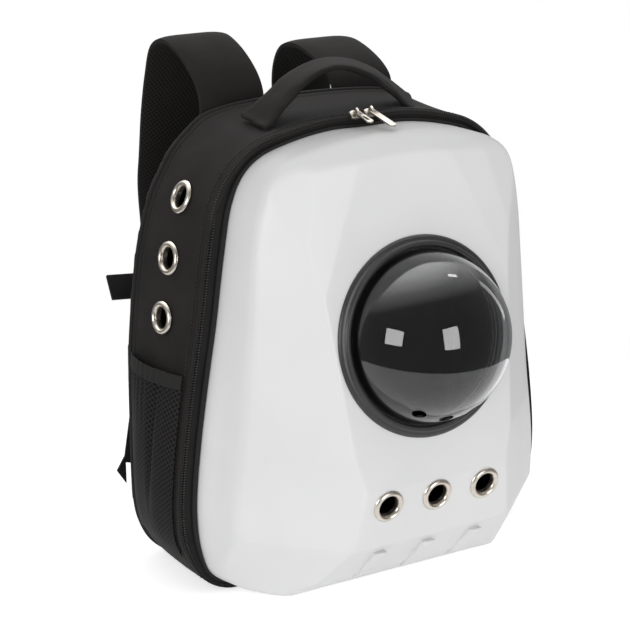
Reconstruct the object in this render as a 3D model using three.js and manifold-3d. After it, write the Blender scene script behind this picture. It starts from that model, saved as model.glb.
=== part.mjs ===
// Pet carrier backpack with a clear bubble window in a moulded front shell.
// Millimetres, +Z up, the window faces -Y. Depths are measured forward from the rim of the shell.
import * as THREE from "three";
import { mergeVertices } from "three/addons/utils/BufferGeometryUtils.js";
import Module from "manifold-3d";

const wasm = await Module();
wasm.setup();

// Driving sizes of the shell.
const SHELL_WIDTH = 358;
const SHELL_HEIGHT = 407;
const SHELL_WALL = 2.5;
const SHELL_DEPTH = 120;
const SHOULDER_DEPTH = 50;
const SHOULDER_ROUND = 9;
const SHOULDER_TAPER = 0.63;
const GAP = 0.3;
const CLOTH_SEAT = 0.7;

// The bubble and its ring.
const DOME_RADIUS = 76;
const DOME_WALL = 2;
const DOME_UP = 238;
const PANEL_DEPTH = 96.5;
const PANEL_LEAN = 0.194;
const RING_WIDTH = 11.5;
const RING_HEIGHT = 6.5;
const DOME_VENT_RADIUS = 6.5;
const DOME_VENT_TILT = 65;
const DOME_VENT_STEP = 24;

// The eyelets.
const EYELET_RADIUS = 15;
const EYELET_HOLE = 9.4;
const EYELET_RISE = 2.6;
const FRONT_EYELET_STEP = 51;
const FRONT_EYELET_UP = 98.7;
const SIDE_EYELET_STEP = 53;
const SIDE_EYELET_UP = 247;
const SIDE_EYELET_BACK = 49;

// The zipper and the cloth body.
const BINDING_WIDTH = 4.5;
const BINDING_DEPTH = 5;
const TAPE_THICK = 1;
const COIL_WIDTH = 6.5;
const COIL_THICK = 2.2;
const ZIP_WIDTH = 17;
const ZIP_SQUEEZE = 0.42;
const ZIP_TOP_SQUEEZE = 0.62;
const GUSSET_DEPTH = 100;
const GUSSET_WALL = 2.5;
const GUSSET_BULGE = 3;
const TOP_SAG = 3;
const BODY_WIDTH = SHELL_WIDTH + 14;
const BODY_HEIGHT = SHELL_HEIGHT + 13;
const PIPING = 4.6;
const PAD_THICK = 15;

// The handle and the straps.
const HANDLE_SPAN = 184;
const HANDLE_RISE = 38;
const HANDLE_WIDTH = 48;
const HANDLE_THICK = 7;
const HANDLE_BACK = 14;
const STRAP_WIDTH = 66;
const STRAP_THICK = 8;
const STRAP_APART = 140;
const STRAP_RISES = { left: 47, right: 31 };
const STRAP_REACH = 85;
const STRAP_END_WIDTH = 44;
const WEBBING_WIDTH = 25;
const WEBBING_THICK = 1.6;
const ADJUSTER_WIDTH = 33;
const ADJUSTER_LENGTH = 26;
const ADJUSTER_THICK = 5;
const TAB_REACH = 9;
const TAB_HEIGHT = 28;
const TAB_UP = 86;
const WEBBING_SAG = 3;
const TAIL_REACH = 56;
const ADJUSTER_LIFT = 0.9;

// The side pockets.
const POCKET_UP = 205;
const POCKET_FOOT = 38;
const POCKET_BULGE = 9;
const POCKET_WALL = 1.4;
const POCKET_BINDING = 13;

// The zipper sliders and their pulls.
const SLIDER_LENGTH = 11;
const SLIDER_STEP = 15;
const SLIDER_HEIGHT = 8;
const SLIDER_THICK = 3;
const SLIDER_TILT = 45;
const PULL_WIDTH = 7;
const PULL_THICK = 1.6;
const PULL_LENGTHS = [24, 37];
const PULL_DROOP = 12;

const STEPS = 56;
const CUTTER_REACH = 30;

// Half outlines from the top middle round to the bottom middle.
// Columns: side, a share of half the width, and up, a share of the height.
const RIM = [
  [0, 1],
  [0.23, 1],
  [0.46, 0.983],
  [0.61, 0.961],
  [0.7, 0.927],
  [0.76, 0.872],
  [0.81, 0.76],
  [0.858, 0.617],
  [0.91, 0.486],
  [0.955, 0.359],
  [0.983, 0.25],
  [0.988, 0.19],
  [0.972, 0.115],
  [0.92, 0.05],
  [0.82, 0.021],
  [0.55, 0.0185],
  [0, 0.0185],
];
const SHOULDER = [
  [0, 1.005],
  [0.27, 0.998],
  [0.447, 0.984],
  [0.592, 0.966],
  [0.685, 0.934],
  [0.728, 0.885],
  [0.765, 0.8],
  [0.785, 0.688],
  [0.834, 0.43],
  [0.86, 0.337],
  [0.886, 0.233],
  [0.885, 0.157],
  [0.865, 0.072],
  [0.8, 0.02],
  [0.68, 0.002],
  [0.4, 0],
  [0, 0],
];
const REAR = [
  [0, 1],
  [0.22, 0.998],
  [0.44, 0.99],
  [0.57, 0.976],
  [0.656, 0.948],
  [0.737, 0.914],
  [0.8, 0.871],
  [0.86, 0.82],
  [0.91, 0.75],
  [0.94, 0.69],
  [0.99, 0.5],
  [1, 0.326],
  [0.995, 0.143],
  [0.97, 0.09],
  [0.91, 0.04],
  [0.8, 0.004],
  [0.55, 0],
  [0, 0],
];

// The flat faces of the shell below, above and beside the bubble's panel. Columns: a point (side, a
// share of half the width, and up, a share of the height), its depth as a share of the shell's depth,
// and how that share changes over half the width and over the height. Each is mirrored.
const FACES = [
  [0, 0.241, 0.985, 0, 0.577],
  [0, 0.133, 0.891, 0, 3.205],
  [0, 1.005, 0.458, 0, -3.053],
  [0.458, 0.364, 0.954, -1.238, -0.387],
  [0.458, 0.364, 0.958, -1.268, 0.102],
  [0.469, 0.147, 0.921, -1.305, 2.062],
  [0.335, 0.887, 0.606, -0.254, -0.916],
  [0.587, 0.887, 0.521, -0.597, -1.119],
];

const CLOTH = new THREE.MeshStandardMaterial({ color: "#2d2c2b", roughness: 0.95, metalness: 0 });
const PADDED = new THREE.MeshStandardMaterial({ color: "#333130", roughness: 0.95, metalness: 0 });
const MESH = new THREE.MeshStandardMaterial({ color: "#262524", roughness: 0.9, metalness: 0 });
const SHELL = new THREE.MeshStandardMaterial({ color: "#e4e4e4", roughness: 0.45, metalness: 0 });
const RING = new THREE.MeshStandardMaterial({ color: "#3d3d3f", roughness: 0.4, metalness: 0 });
const CLEAR = new THREE.MeshStandardMaterial({
  color: "#6f7174",
  roughness: 0.05,
  metalness: 0,
  transparent: true,
  opacity: 0.45,
});
const NICKEL = new THREE.MeshStandardMaterial({ color: "#8c8883", roughness: 0.3, metalness: 1 });
const PLASTIC = new THREE.MeshStandardMaterial({ color: "#1f1f1f", roughness: 0.5, metalness: 0 });

const bag = new THREE.Group();

function addMesh(name, geometry, material, parent = bag) {
  const mesh = new THREE.Mesh(geometry, material);
  mesh.name = name;
  parent.add(mesh);
  return mesh;
}

// A closed geometry as a solid for cutting, and back.
function solid(geometry) {
  const bare = geometry.clone();
  bare.deleteAttribute("normal");
  bare.deleteAttribute("uv");
  const merged = mergeVertices(bare, 1e-4);
  const mesh = new wasm.Mesh({
    numProp: 3,
    vertProperties: merged.attributes.position.array,
    triVerts: new Uint32Array(merged.index.array),
  });
  return new wasm.Manifold(mesh);
}

function geometryOf(made) {
  const mesh = made.getMesh();
  const geometry = new THREE.BufferGeometry();
  geometry.setAttribute("position", new THREE.BufferAttribute(mesh.vertProperties.slice(), 3));
  geometry.setIndex(new THREE.BufferAttribute(mesh.triVerts.slice(), 1));
  geometry.computeVertexNormals();
  return geometry;
}

// Rows of points, each row of equal length, as one surface.
// wrapRows joins the last row to the first, wrapPoints the last point of a row to its first.
function surface(rows, wrapRows, wrapPoints, caps = false) {
  const count = rows[0].length;
  const positions = rows.flat().flatMap((point) => [point.x, point.y, point.z]);
  const index = [];
  const rowEnd = wrapRows ? rows.length : rows.length - 1;
  const pointEnd = wrapPoints ? count : count - 1;
  for (let row = 0; row < rowEnd; row += 1) {
    for (let point = 0; point < pointEnd; point += 1) {
      const a = row * count + point;
      const b = row * count + ((point + 1) % count);
      const c = ((row + 1) % rows.length) * count + ((point + 1) % count);
      const d = ((row + 1) % rows.length) * count + point;
      index.push(a, b, c, a, c, d);
    }
  }
  if (caps) {
    for (const [row, turned] of [[0, true], [rows.length - 1, false]]) {
      const middle = new THREE.Vector3();
      rows[row].forEach((point) => middle.addScaledVector(point, 1 / count));
      const centre = positions.length / 3;
      positions.push(middle.x, middle.y, middle.z);
      for (let point = 0; point < count; point += 1) {
        const a = row * count + point;
        const b = row * count + ((point + 1) % count);
        index.push(centre, turned ? b : a, turned ? a : b);
      }
    }
  }
  const geometry = new THREE.BufferGeometry();
  geometry.setAttribute("position", new THREE.Float32BufferAttribute(positions, 3));
  geometry.setIndex(index);
  return facingOut(geometry);
}

// Turns every face round if the closed surface is inside out.
function facingOut(geometry) {
  const made = solid(geometry);
  if (made.volume() < 0) {
    const index = geometry.index.array;
    for (let i = 0; i < index.length; i += 3) {
      [index[i + 1], index[i + 2]] = [index[i + 2], index[i + 1]];
    }
  }
  geometry.computeVertexNormals();
  return geometry;
}

// A half outline table as a closed ring of STEPS points in X and Z.
function outline(table, width, height) {
  const half = table.map(([side, up]) => new THREE.Vector3((side * width) / 2, 0, up * height));
  const other = half.slice(1, -1).reverse().map((point) => new THREE.Vector3(-point.x, 0, point.z));
  const curve = new THREE.CatmullRomCurve3([...half, ...other], true, "centripetal");
  return curve.getSpacedPoints(STEPS).slice(0, STEPS);
}

// The outward direction at each point of a ring, in X and Z.
function outward(ring) {
  return ring.map((point, i) => {
    const next = ring[(i + 1) % ring.length];
    const last = ring[(i + ring.length - 1) % ring.length];
    return new THREE.Vector3(last.z - next.z, 0, next.x - last.x).normalize();
  });
}

const rimRing = outline(RIM, SHELL_WIDTH, SHELL_HEIGHT);
const rimOut = outward(rimRing);
const shoulderRing = outline(SHOULDER, SHELL_WIDTH, SHELL_HEIGHT);
const rearRing = outline(REAR, BODY_WIDTH, BODY_HEIGHT);
const rearOut = outward(rearRing);

// The zipper is squeezed where the bag stands on it, and drawn in over the top.
function squeeze(point) {
  const rise = THREE.MathUtils.smoothstep(point.z, SHELL_HEIGHT * 0.02, SHELL_HEIGHT * 0.16);
  const top = THREE.MathUtils.smoothstep(point.z, SHELL_HEIGHT * 0.84, SHELL_HEIGHT * 0.97);
  return ZIP_SQUEEZE + (1 - ZIP_SQUEEZE) * rise - (1 - ZIP_TOP_SQUEEZE) * top;
}

// A ring outside the rim of the shell, at one depth.
function besideRim(offset, y) {
  return rimRing.map((point, i) => {
    const moved = point.clone().addScaledVector(rimOut[i], offset * squeeze(point));
    moved.y = y;
    moved.z = Math.max(moved.z, 0);
    return moved;
  });
}

// A ring on the cloth body, offset outward, from the zipper at 0 to the rear seam at 1.
function bodyRing(share, offset) {
  const front = besideRim(ZIP_WIDTH, 0);
  const middle = Math.sin(Math.PI * share);
  return front.map((point, i) => {
    const mixed = point.lerp(rearRing[i], share);
    const out = rimOut[i].clone().lerp(rearOut[i], share).normalize();
    const side = (Math.abs(out.x) * GUSSET_BULGE - Math.max(out.z, 0) * TOP_SAG) * middle;
    mixed.addScaledVector(out, offset + side);
    mixed.y = GUSSET_DEPTH * share;
    mixed.z = Math.max(mixed.z, Math.max(0, -offset));
    return mixed;
  });
}

// The place on one side of the body at a height.
function sidePlace(side, share, up, offset) {
  const ring = bodyRing(share, offset);
  for (let i = 0; i < STEPS; i += 1) {
    const a = ring[i];
    const b = ring[(i + 1) % STEPS];
    const between = (up - a.z) / (b.z - a.z);
    if (a.x * side > 100 && b.x * side > 100 && between > -0.001 && between < 1.001) {
      return a.clone().lerp(b, between);
    }
  }
  throw new Error("no place on the side at that height");
}

// The same place with the direction square to the cloth there.
function sideSeat(side, share, up, reach) {
  const place = sidePlace(side, share, up, 0);
  const rise = sidePlace(side, share, up + reach, 0).sub(sidePlace(side, share, up - reach, 0));
  const step = reach / GUSSET_DEPTH;
  const back = sidePlace(side, share + step, up, 0).sub(sidePlace(side, share - step, up, 0));
  const out = new THREE.Vector3().crossVectors(rise, back).normalize();
  return { place, out: out.multiplyScalar(Math.sign(out.x * side)) };
}

// The height of the body's top at a distance to the side.
function bodyTop(share, across) {
  const ring = bodyRing(share, 0);
  for (let i = 0; i < STEPS; i += 1) {
    const a = ring[i];
    const b = ring[(i + 1) % STEPS];
    const between = (across - a.x) / (b.x - a.x);
    if (between > -0.001 && between < 1.001 && a.z > BODY_HEIGHT / 2) {
      return a.z + (b.z - a.z) * between;
    }
  }
  throw new Error("no top at that distance");
}

// The faces as places and slopes in millimetres, with the panel of the bubble first.
const planes = [
  { side: 0, up: DOME_UP, depth: PANEL_DEPTH, sideways: 0, upward: -PANEL_LEAN },
  ...FACES.map(([side, up, depth, sideways, upward]) => ({
    side: (side * SHELL_WIDTH) / 2,
    up: up * SHELL_HEIGHT,
    depth: depth * SHELL_DEPTH,
    sideways: (sideways * SHELL_DEPTH) / (SHELL_WIDTH / 2),
    upward: (upward * SHELL_DEPTH) / SHELL_HEIGHT,
  })),
];

// A block whose front face lies on one plane of the shell, moved inward by inset.
function cutter(face, mirror, inset) {
  const out = new THREE.Vector3(-face.sideways * mirror, -1, -face.upward).normalize();
  const place = new THREE.Vector3(face.side * mirror, -face.depth, face.up);
  const size = 1200;
  const block = new THREE.BoxGeometry(size, size, size);
  const turn = new THREE.Quaternion().setFromUnitVectors(new THREE.Vector3(0, 0, 1), out);
  block.applyQuaternion(turn);
  place.addScaledVector(out, size / 2 - inset);
  block.translate(place.x, place.y, place.z);
  return solid(block);
}

// The rounded loft of the shell cut to its flat faces, all moved inward by inset.
function shellBlock(inset, start) {
  const shoulder = SHOULDER_DEPTH + SHOULDER_ROUND;
  const reach = SHELL_DEPTH * 1.1;
  const levels = [
    { mix: 0, depth: start, pull: 0 },
    { mix: 0, depth: BINDING_DEPTH + 1, pull: 0 },
    { mix: 0.45, depth: SHOULDER_DEPTH * 0.45, pull: 0 },
    { mix: 0.88, depth: SHOULDER_DEPTH * 0.88, pull: 0 },
    { mix: 1, depth: SHOULDER_DEPTH + SHOULDER_ROUND / 3, pull: SHOULDER_ROUND / 3 },
    { mix: 1, depth: shoulder, pull: SHOULDER_ROUND },
    { mix: 1, depth: reach, pull: SHOULDER_ROUND + (reach - shoulder) * SHOULDER_TAPER },
  ];
  const rows = levels.map((level) => {
    const mixed = rimRing.map((point, i) => point.clone().lerp(shoulderRing[i], level.mix));
    const out = outward(mixed);
    return mixed.map((point, i) => {
      const moved = point.addScaledVector(out[i], -level.pull - inset);
      moved.y = -level.depth;
      moved.z = Math.max(moved.z, inset);
      return moved;
    });
  });
  let made = solid(surface(rows, false, true, true));
  for (const face of planes) {
    for (const mirror of face.side === 0 ? [1] : [1, -1]) {
      made = made.subtract(cutter(face, mirror, inset));
    }
  }
  return made;
}

// The leaning plane that carries the bubble.
const panelOut = new THREE.Vector3(0, -1, PANEL_LEAN).normalize();
const panelPlace = new THREE.Vector3(0, -PANEL_DEPTH, DOME_UP);

// A lathe profile of [radius, height] pairs turned about a direction at a place.
function turned(profile, segments, place, out) {
  const points = profile.map(([radius, height]) => new THREE.Vector2(radius, height));
  const geometry = new THREE.LatheGeometry(points, segments);
  geometry.applyQuaternion(
    new THREE.Quaternion().setFromUnitVectors(new THREE.Vector3(0, 1, 0), out),
  );
  geometry.translate(place.x, place.y, place.z);
  return facingOut(geometry);
}

function rod(radius, from, to, place, out, segments = 16) {
  return solid(turned([[0, from], [radius, from], [radius, to], [0, to]], segments, place, out));
}

const lowerFace = planes[1];
const lowerOut = new THREE.Vector3(0, -1, -lowerFace.upward).normalize();
const frontEyelets = [-1, 0, 1].map((step) => {
  const depth = lowerFace.depth + lowerFace.upward * (FRONT_EYELET_UP - lowerFace.up);
  const place = new THREE.Vector3(step * FRONT_EYELET_STEP, -depth, FRONT_EYELET_UP);
  return { place, out: lowerOut };
});

function shell() {
  let made = shellBlock(0, 0).subtract(shellBlock(SHELL_WALL, -1));
  made = made.subtract(rod(DOME_RADIUS + 2 * GAP, -CUTTER_REACH, CUTTER_REACH, panelPlace, panelOut, 40));
  for (const { place, out } of frontEyelets) {
    made = made.subtract(rod(EYELET_HOLE + 1 + GAP, -CUTTER_REACH, CUTTER_REACH, place, out));
  }
  return geometryOf(made);
}

// The ring stands on the shell and grips the foot of the dome.
function domeRing() {
  const inner = DOME_RADIUS + GAP;
  const outer = inner + RING_WIDTH;
  const profile = [
    [inner, GAP],
    [outer, GAP],
    [outer + 0.4, 1.8],
    [outer - 2.5, 4.4],
    [outer - 4.5, 4.8],
    [outer - 5.2, RING_HEIGHT],
    [inner + 2.4, RING_HEIGHT],
    [inner + 1.2, 4.2],
    [inner, 4.2],
    [inner, GAP],
  ];
  return turned(profile, 40, panelPlace, panelOut);
}

function domeVents() {
  return [-1.25, -0.25, 0.75].map((step) => {
    const polar = THREE.MathUtils.degToRad(DOME_VENT_TILT);
    const round = THREE.MathUtils.degToRad(DOME_VENT_STEP * step);
    const out = new THREE.Vector3(
      Math.sin(polar) * Math.sin(round),
      Math.cos(polar),
      -Math.sin(polar) * Math.cos(round),
    );
    const turn = new THREE.Quaternion().setFromUnitVectors(new THREE.Vector3(0, -1, 0), panelOut);
    out.y *= -1;
    return out.applyQuaternion(turn);
  });
}

function dome() {
  const outer = [];
  const inner = [];
  const rings = 6;
  for (let i = 0; i <= rings; i += 1) {
    const angle = ((Math.PI / 2) * i) / rings;
    const rim = i === 0 ? -2 : 0;
    outer.push([DOME_RADIUS * Math.cos(angle), DOME_RADIUS * Math.sin(angle) + rim]);
    const small = DOME_RADIUS - DOME_WALL;
    inner.push([small * Math.cos(angle), small * Math.sin(angle) + rim]);
  }
  outer[rings][0] = 0;
  inner[rings][0] = 0;
  const profile = [...inner.reverse(), ...outer];
  let made = solid(turned(profile, 32, panelPlace, panelOut));
  for (const out of domeVents()) {
    made = made.subtract(rod(DOME_VENT_RADIUS, DOME_RADIUS - 12, DOME_RADIUS + 12, panelPlace, out));
  }
  return geometryOf(made);
}

// A grommet: a rounded flange outside, a barrel through the wall. The seat is its height off the wall.
function eyelet(place, out, wall, seat) {
  const profile = [
    [EYELET_HOLE, -wall],
    [EYELET_HOLE + 1, -wall],
    [EYELET_HOLE + 1, seat],
    [EYELET_RADIUS, seat],
    [EYELET_RADIUS - 2, seat + EYELET_RISE],
    [EYELET_HOLE + 0.7, seat + EYELET_RISE * 0.75],
    [EYELET_HOLE, -wall],
  ];
  return turned(profile, 16, place, out);
}

// A band of cloth whose section is a list of rings.
function band(rings) {
  return surface(rings, true, true);
}

function shellBinding() {
  return band([
    besideRim(GAP, -BINDING_DEPTH),
    besideRim(BINDING_WIDTH - 1, -BINDING_DEPTH),
    besideRim(BINDING_WIDTH, -BINDING_DEPTH + 1.5),
    besideRim(BINDING_WIDTH, 0),
    besideRim(GAP, 0),
  ]);
}

function zipTape() {
  return band([
    besideRim(GAP, GAP),
    besideRim(ZIP_WIDTH, GAP),
    besideRim(ZIP_WIDTH, GAP + TAPE_THICK),
    besideRim(GAP, GAP + TAPE_THICK),
  ]);
}

function zipCoil() {
  const inner = ZIP_WIDTH - COIL_WIDTH;
  return band([
    besideRim(inner, 0),
    besideRim(inner + 0.8, -COIL_THICK),
    besideRim(ZIP_WIDTH - 0.8, -COIL_THICK),
    besideRim(ZIP_WIDTH, 0),
  ]);
}

const flangeFront = 2 * GAP + TAPE_THICK;
function gussetSolid() {
  const inner = ZIP_WIDTH - COIL_WIDTH;
  const outside = [0.03, 0.25, 0.5, 0.75, 1];
  const rings = [
    besideRim(inner, flangeFront + GUSSET_WALL),
    besideRim(inner, flangeFront),
    besideRim(ZIP_WIDTH - 0.8, flangeFront),
    ...outside.map((share) => bodyRing(share, 0)),
    ...outside.slice(1).reverse().map((share) => bodyRing(share, -GUSSET_WALL)),
    besideRim(ZIP_WIDTH - GUSSET_WALL - 0.5, flangeFront + GUSSET_WALL),
  ];
  return band(rings);
}

function sideEyelets(side) {
  const share = SIDE_EYELET_BACK / GUSSET_DEPTH;
  return [0, 1, 2].map((step) =>
    sideSeat(side, share, SIDE_EYELET_UP + step * SIDE_EYELET_STEP, EYELET_RADIUS),
  );
}

// The gusset is two halves that meet in a seam at the top middle and the bottom middle.
function gusset(side) {
  let made = solid(gussetSolid()).trimByPlane([side, 0, 0], GAP / 2);
  for (const { place, out } of sideEyelets(side)) {
    made = made.subtract(rod(EYELET_HOLE + 1 + GAP, -CUTTER_REACH, CUTTER_REACH, place, out));
  }
  return geometryOf(made);
}

// A ring on the rear outline, offset outward, kept off the floor.
function rearAt(offset, y) {
  return rearRing.map((point, i) => {
    const moved = point.clone().addScaledVector(rearOut[i], offset);
    moved.y = y;
    moved.z = Math.max(moved.z, Math.max(0, -offset));
    return moved;
  });
}

const rearSeam = GUSSET_DEPTH + GAP;
function rearPiping() {
  return band([
    rearAt(-GUSSET_WALL, rearSeam),
    rearAt(0.2, rearSeam),
    rearAt(1.6, rearSeam + PIPING / 2),
    rearAt(0.2, rearSeam + PIPING),
    rearAt(-GUSSET_WALL, rearSeam + PIPING),
  ]);
}

const padFront = rearSeam + PIPING + GAP;
function backPanel() {
  const rows = [
    rearAt(-2, padFront),
    rearAt(1.5, padFront + 3),
    rearAt(1.5, padFront + PAD_THICK * 0.6),
    rearAt(-3, padFront + PAD_THICK),
  ];
  return surface(rows, false, true, true);
}

// A padded strip swept along its centre line: at each stop a place, a sideways and a thickness
// direction. Its width runs from one value to another over the last share of its length.
function strip(stops, width, thick, endWidth = width) {
  const round = Math.min(thick / 2, 3) * 0.8;
  const rows = stops.map(({ place, across, up }, i) => {
    const taper = THREE.MathUtils.smoothstep(i / (stops.length - 1), 0.72, 1);
    const half = (width + (endWidth - width) * taper) / 2;
    const section = [
      [-half, -thick / 2 + round],
      [-half + round, -thick / 2],
      [half - round, -thick / 2],
      [half, -thick / 2 + round],
      [half, thick / 2 - round],
      [half - round, thick / 2],
      [-half + round, thick / 2],
      [-half, thick / 2 - round],
    ];
    return section.map(([a, b]) => place.clone().addScaledVector(across, a).addScaledVector(up, b));
  });
  return surface(rows, false, true, true);
}

// A thin flat strip, such as webbing.
function tape(stops, width, thick) {
  const rows = stops.map(({ place, across, up }) =>
    [[-1, -1], [1, -1], [1, 1], [-1, 1]].map(([a, b]) =>
      place.clone().addScaledVector(across, (a * width) / 2).addScaledVector(up, (b * thick) / 2),
    ),
  );
  return surface(rows, false, true, true);
}

// A closed sheet between two grids of points of the same size.
function sheet(outer, inner) {
  const rows = outer.length;
  const count = outer[0].length;
  const positions = [...outer.flat(), ...inner.flat()].flatMap((point) => [point.x, point.y, point.z]);
  const under = rows * count;
  const index = [];
  for (let row = 0; row < rows - 1; row += 1) {
    for (let point = 0; point < count - 1; point += 1) {
      const a = row * count + point;
      const c = a + count + 1;
      index.push(a, a + 1, c, a, c, a + count);
      index.push(under + a, under + c, under + a + 1, under + a, under + a + count, under + c);
    }
  }
  const wall = (a, b) => index.push(a, under + b, b, a, under + a, under + b);
  for (let point = 0; point < count - 1; point += 1) {
    wall(point, point + 1);
    wall((rows - 1) * count + point + 1, (rows - 1) * count + point);
  }
  for (let row = 0; row < rows - 1; row += 1) {
    wall((row + 1) * count, row * count);
    wall((row + 1) * count - 1, (row + 2) * count - 1);
  }
  const geometry = new THREE.BufferGeometry();
  geometry.setAttribute("position", new THREE.Float32BufferAttribute(positions, 3));
  geometry.setIndex(index);
  return facingOut(geometry);
}

// Stops along a smooth curve through points, with the sideways direction held near one given.
function stopsAlong(points, count, sideways) {
  const curve = new THREE.CatmullRomCurve3(points, false, "centripetal");
  const places = curve.getSpacedPoints(count);
  return places.map((place, i) => {
    const along = curve.getTangentAt(i / count);
    const across = sideways.clone().addScaledVector(along, -along.dot(sideways)).normalize();
    const up = new THREE.Vector3().crossVectors(across, along).normalize();
    return { place, across, up };
  });
}

// The handle arches from side to side over the top, its ends sewn flat.
// Columns: share of half the span, share of the rise. The other half is its mirror image.
const HANDLE_LINE = [
  [-1, 0],
  [-0.93, 0.01],
  [-0.87, 0.085],
  [-0.76, 0.25],
  [-0.63, 0.44],
  [-0.54, 0.6],
  [-0.4, 0.77],
  [-0.22, 0.93],
  [0, 1],
];
function handle() {
  const half = HANDLE_WIDTH / 2 / GUSSET_DEPTH;
  const share = HANDLE_BACK / GUSSET_DEPTH + half;
  const other = HANDLE_LINE.slice(0, -1).reverse().map(([across, rise]) => [-across, rise]);
  const seat = (x) => Math.max(...[share - half, share, share + half].map((at) => bodyTop(at, x)));
  const points = [...HANDLE_LINE, ...other].map(([across, rise]) => {
    const x = (across * HANDLE_SPAN) / 2;
    const foot = seat(x) + CLOTH_SEAT + HANDLE_THICK / 2;
    const top = bodyTop(share, 0) + HANDLE_RISE + HANDLE_THICK / 2;
    return new THREE.Vector3(x, GUSSET_DEPTH * share, foot + (top - foot) * rise);
  });
  return strip(stopsAlong(points, 20, new THREE.Vector3(0, 1, 0)), HANDLE_WIDTH, HANDLE_THICK);
}

// A shoulder strap stands up from the top of the back, folds over and hangs behind it.
// Columns: outward and back as shares of the reach, rise over the root as a share of the strap's rise.
const STRAP_LINE = [
  [0, 0, 0.1],
  [0, 0.12, 0.42],
  [0, 0.48, 0.84],
  [0, 0.84, 1],
  [0, 1.1, 0.8],
  [0, 1.25, 0.2],
  [0.03, 1.31, -0.6],
  [0.14, 1.2, -1.8],
  [0.34, 0.92, -2.7],
  [0.56, 0.6, -3.4],
];
function strapPoints(side, rise) {
  const root = padFront + PAD_THICK / 2;
  return STRAP_LINE.map(([outwards, back, up]) => {
    const scale = up > 0 ? rise : STRAP_RISES.left;
    return new THREE.Vector3(
      side * (STRAP_APART / 2 + outwards * STRAP_REACH),
      root + back * STRAP_REACH,
      BODY_HEIGHT + up * scale,
    );
  });
}

function strap(side, rise) {
  const stops = stopsAlong(strapPoints(side, rise), 22, new THREE.Vector3(side, 0, 0));
  return strip(stops, STRAP_WIDTH, STRAP_THICK, STRAP_END_WIDTH);
}

// The webbing runs from the end of the strap down to the lower tab.
function webbingStops(side) {
  const line = strapPoints(side, STRAP_RISES.left);
  const end = line.at(-1);
  const onward = end.clone().sub(line.at(-2)).normalize();
  const foot = new THREE.Vector3(
    side * (BODY_WIDTH / 2 - WEBBING_WIDTH / 2),
    padFront + PAD_THICK + WEBBING_THICK + CLOTH_SEAT,
    TAB_UP,
  );
  const start = end.clone().addScaledVector(onward, CLOTH_SEAT + GAP);
  const half = start.clone().addScaledVector(onward, ADJUSTER_LENGTH * 0.7);
  const straight = start.clone().addScaledVector(onward, ADJUSTER_LENGTH * 1.4);
  const middle = straight.clone().lerp(foot, 0.5);
  middle.y += WEBBING_SAG;
  const count = Math.round(start.distanceTo(foot) / (ADJUSTER_LENGTH * 0.6));
  return stopsAlong([start, half, straight, middle, foot], count, new THREE.Vector3(1, 0, 0));
}

function webbing(side) {
  return tape(webbingStops(side), WEBBING_WIDTH, WEBBING_THICK);
}

// The free end of the webbing, folded double, stands out beside the adjuster.
function webbingTail(side, stop, face, lift) {
  const along = new THREE.Vector3().crossVectors(stop.across, face);
  const root = stop.place.clone().addScaledVector(face, lift);
  const points = [0, 0.5, 1].map((share) => {
    const out = side * (TAIL_REACH * share - 6);
    return new THREE.Vector3(root.x + out, root.y + 3 * share, root.z + 4 * share);
  });
  return tape(stopsAlong(points, 4, along), WEBBING_WIDTH, 2 * WEBBING_THICK);
}

// A pocket lies on the side of the body, sewn along its foot and ends and open at the top.
function pocketPoint(side, along, up, rise, lift) {
  const share = 0.07 + 0.86 * along;
  const seat = sideSeat(side, share, up, 6);
  const swell = Math.sin(Math.PI * along) ** 0.6 * Math.sin((Math.PI / 2) * rise) ** 0.7;
  return seat.place.addScaledVector(seat.out, CLOTH_SEAT + GAP + POCKET_BULGE * swell + lift);
}

function pocketGrid(side, from, to, rows, lift) {
  const grid = [];
  for (let row = 0; row <= rows; row += 1) {
    const up = from + ((to - from) * row) / rows;
    const rise = (up - POCKET_FOOT) / (POCKET_UP - POCKET_FOOT);
    const line = [];
    for (let point = 0; point <= 8; point += 1) {
      line.push(pocketPoint(side, point / 8, up, rise, lift));
    }
    grid.push(line);
  }
  return grid;
}

function pocket(side) {
  const top = POCKET_UP - POCKET_BINDING;
  return sheet(pocketGrid(side, POCKET_FOOT, top, 8, POCKET_WALL), pocketGrid(side, POCKET_FOOT, top, 8, 0));
}

function pocketBinding(side) {
  const foot = POCKET_UP - POCKET_BINDING + GAP;
  return sheet(
    pocketGrid(side, foot, POCKET_UP, 1, POCKET_WALL + 1),
    pocketGrid(side, foot, POCKET_UP, 1, 0),
  );
}

// A slider clasps the coil and leans back with it. Its crown is a small arch that the pull's eye
// hangs in. Distances are from the middle of the coil.
const zipMiddle = SHELL_HEIGHT + (ZIP_WIDTH - COIL_WIDTH / 2) * ZIP_TOP_SQUEEZE;
const tilt = THREE.MathUtils.degToRad(SLIDER_TILT);
const coilReach = (COIL_THICK * Math.cos(tilt) + COIL_WIDTH * ZIP_TOP_SQUEEZE * Math.sin(tilt)) / 2;
const sliderBack = coilReach + GAP;
const sliderFront = sliderBack + SLIDER_THICK;
const pivotDepth = sliderFront + 2.1;

function box(width, depth, height, x, y, z) {
  return solid(new THREE.BoxGeometry(width, depth, height).translate(x, y, z));
}

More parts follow.
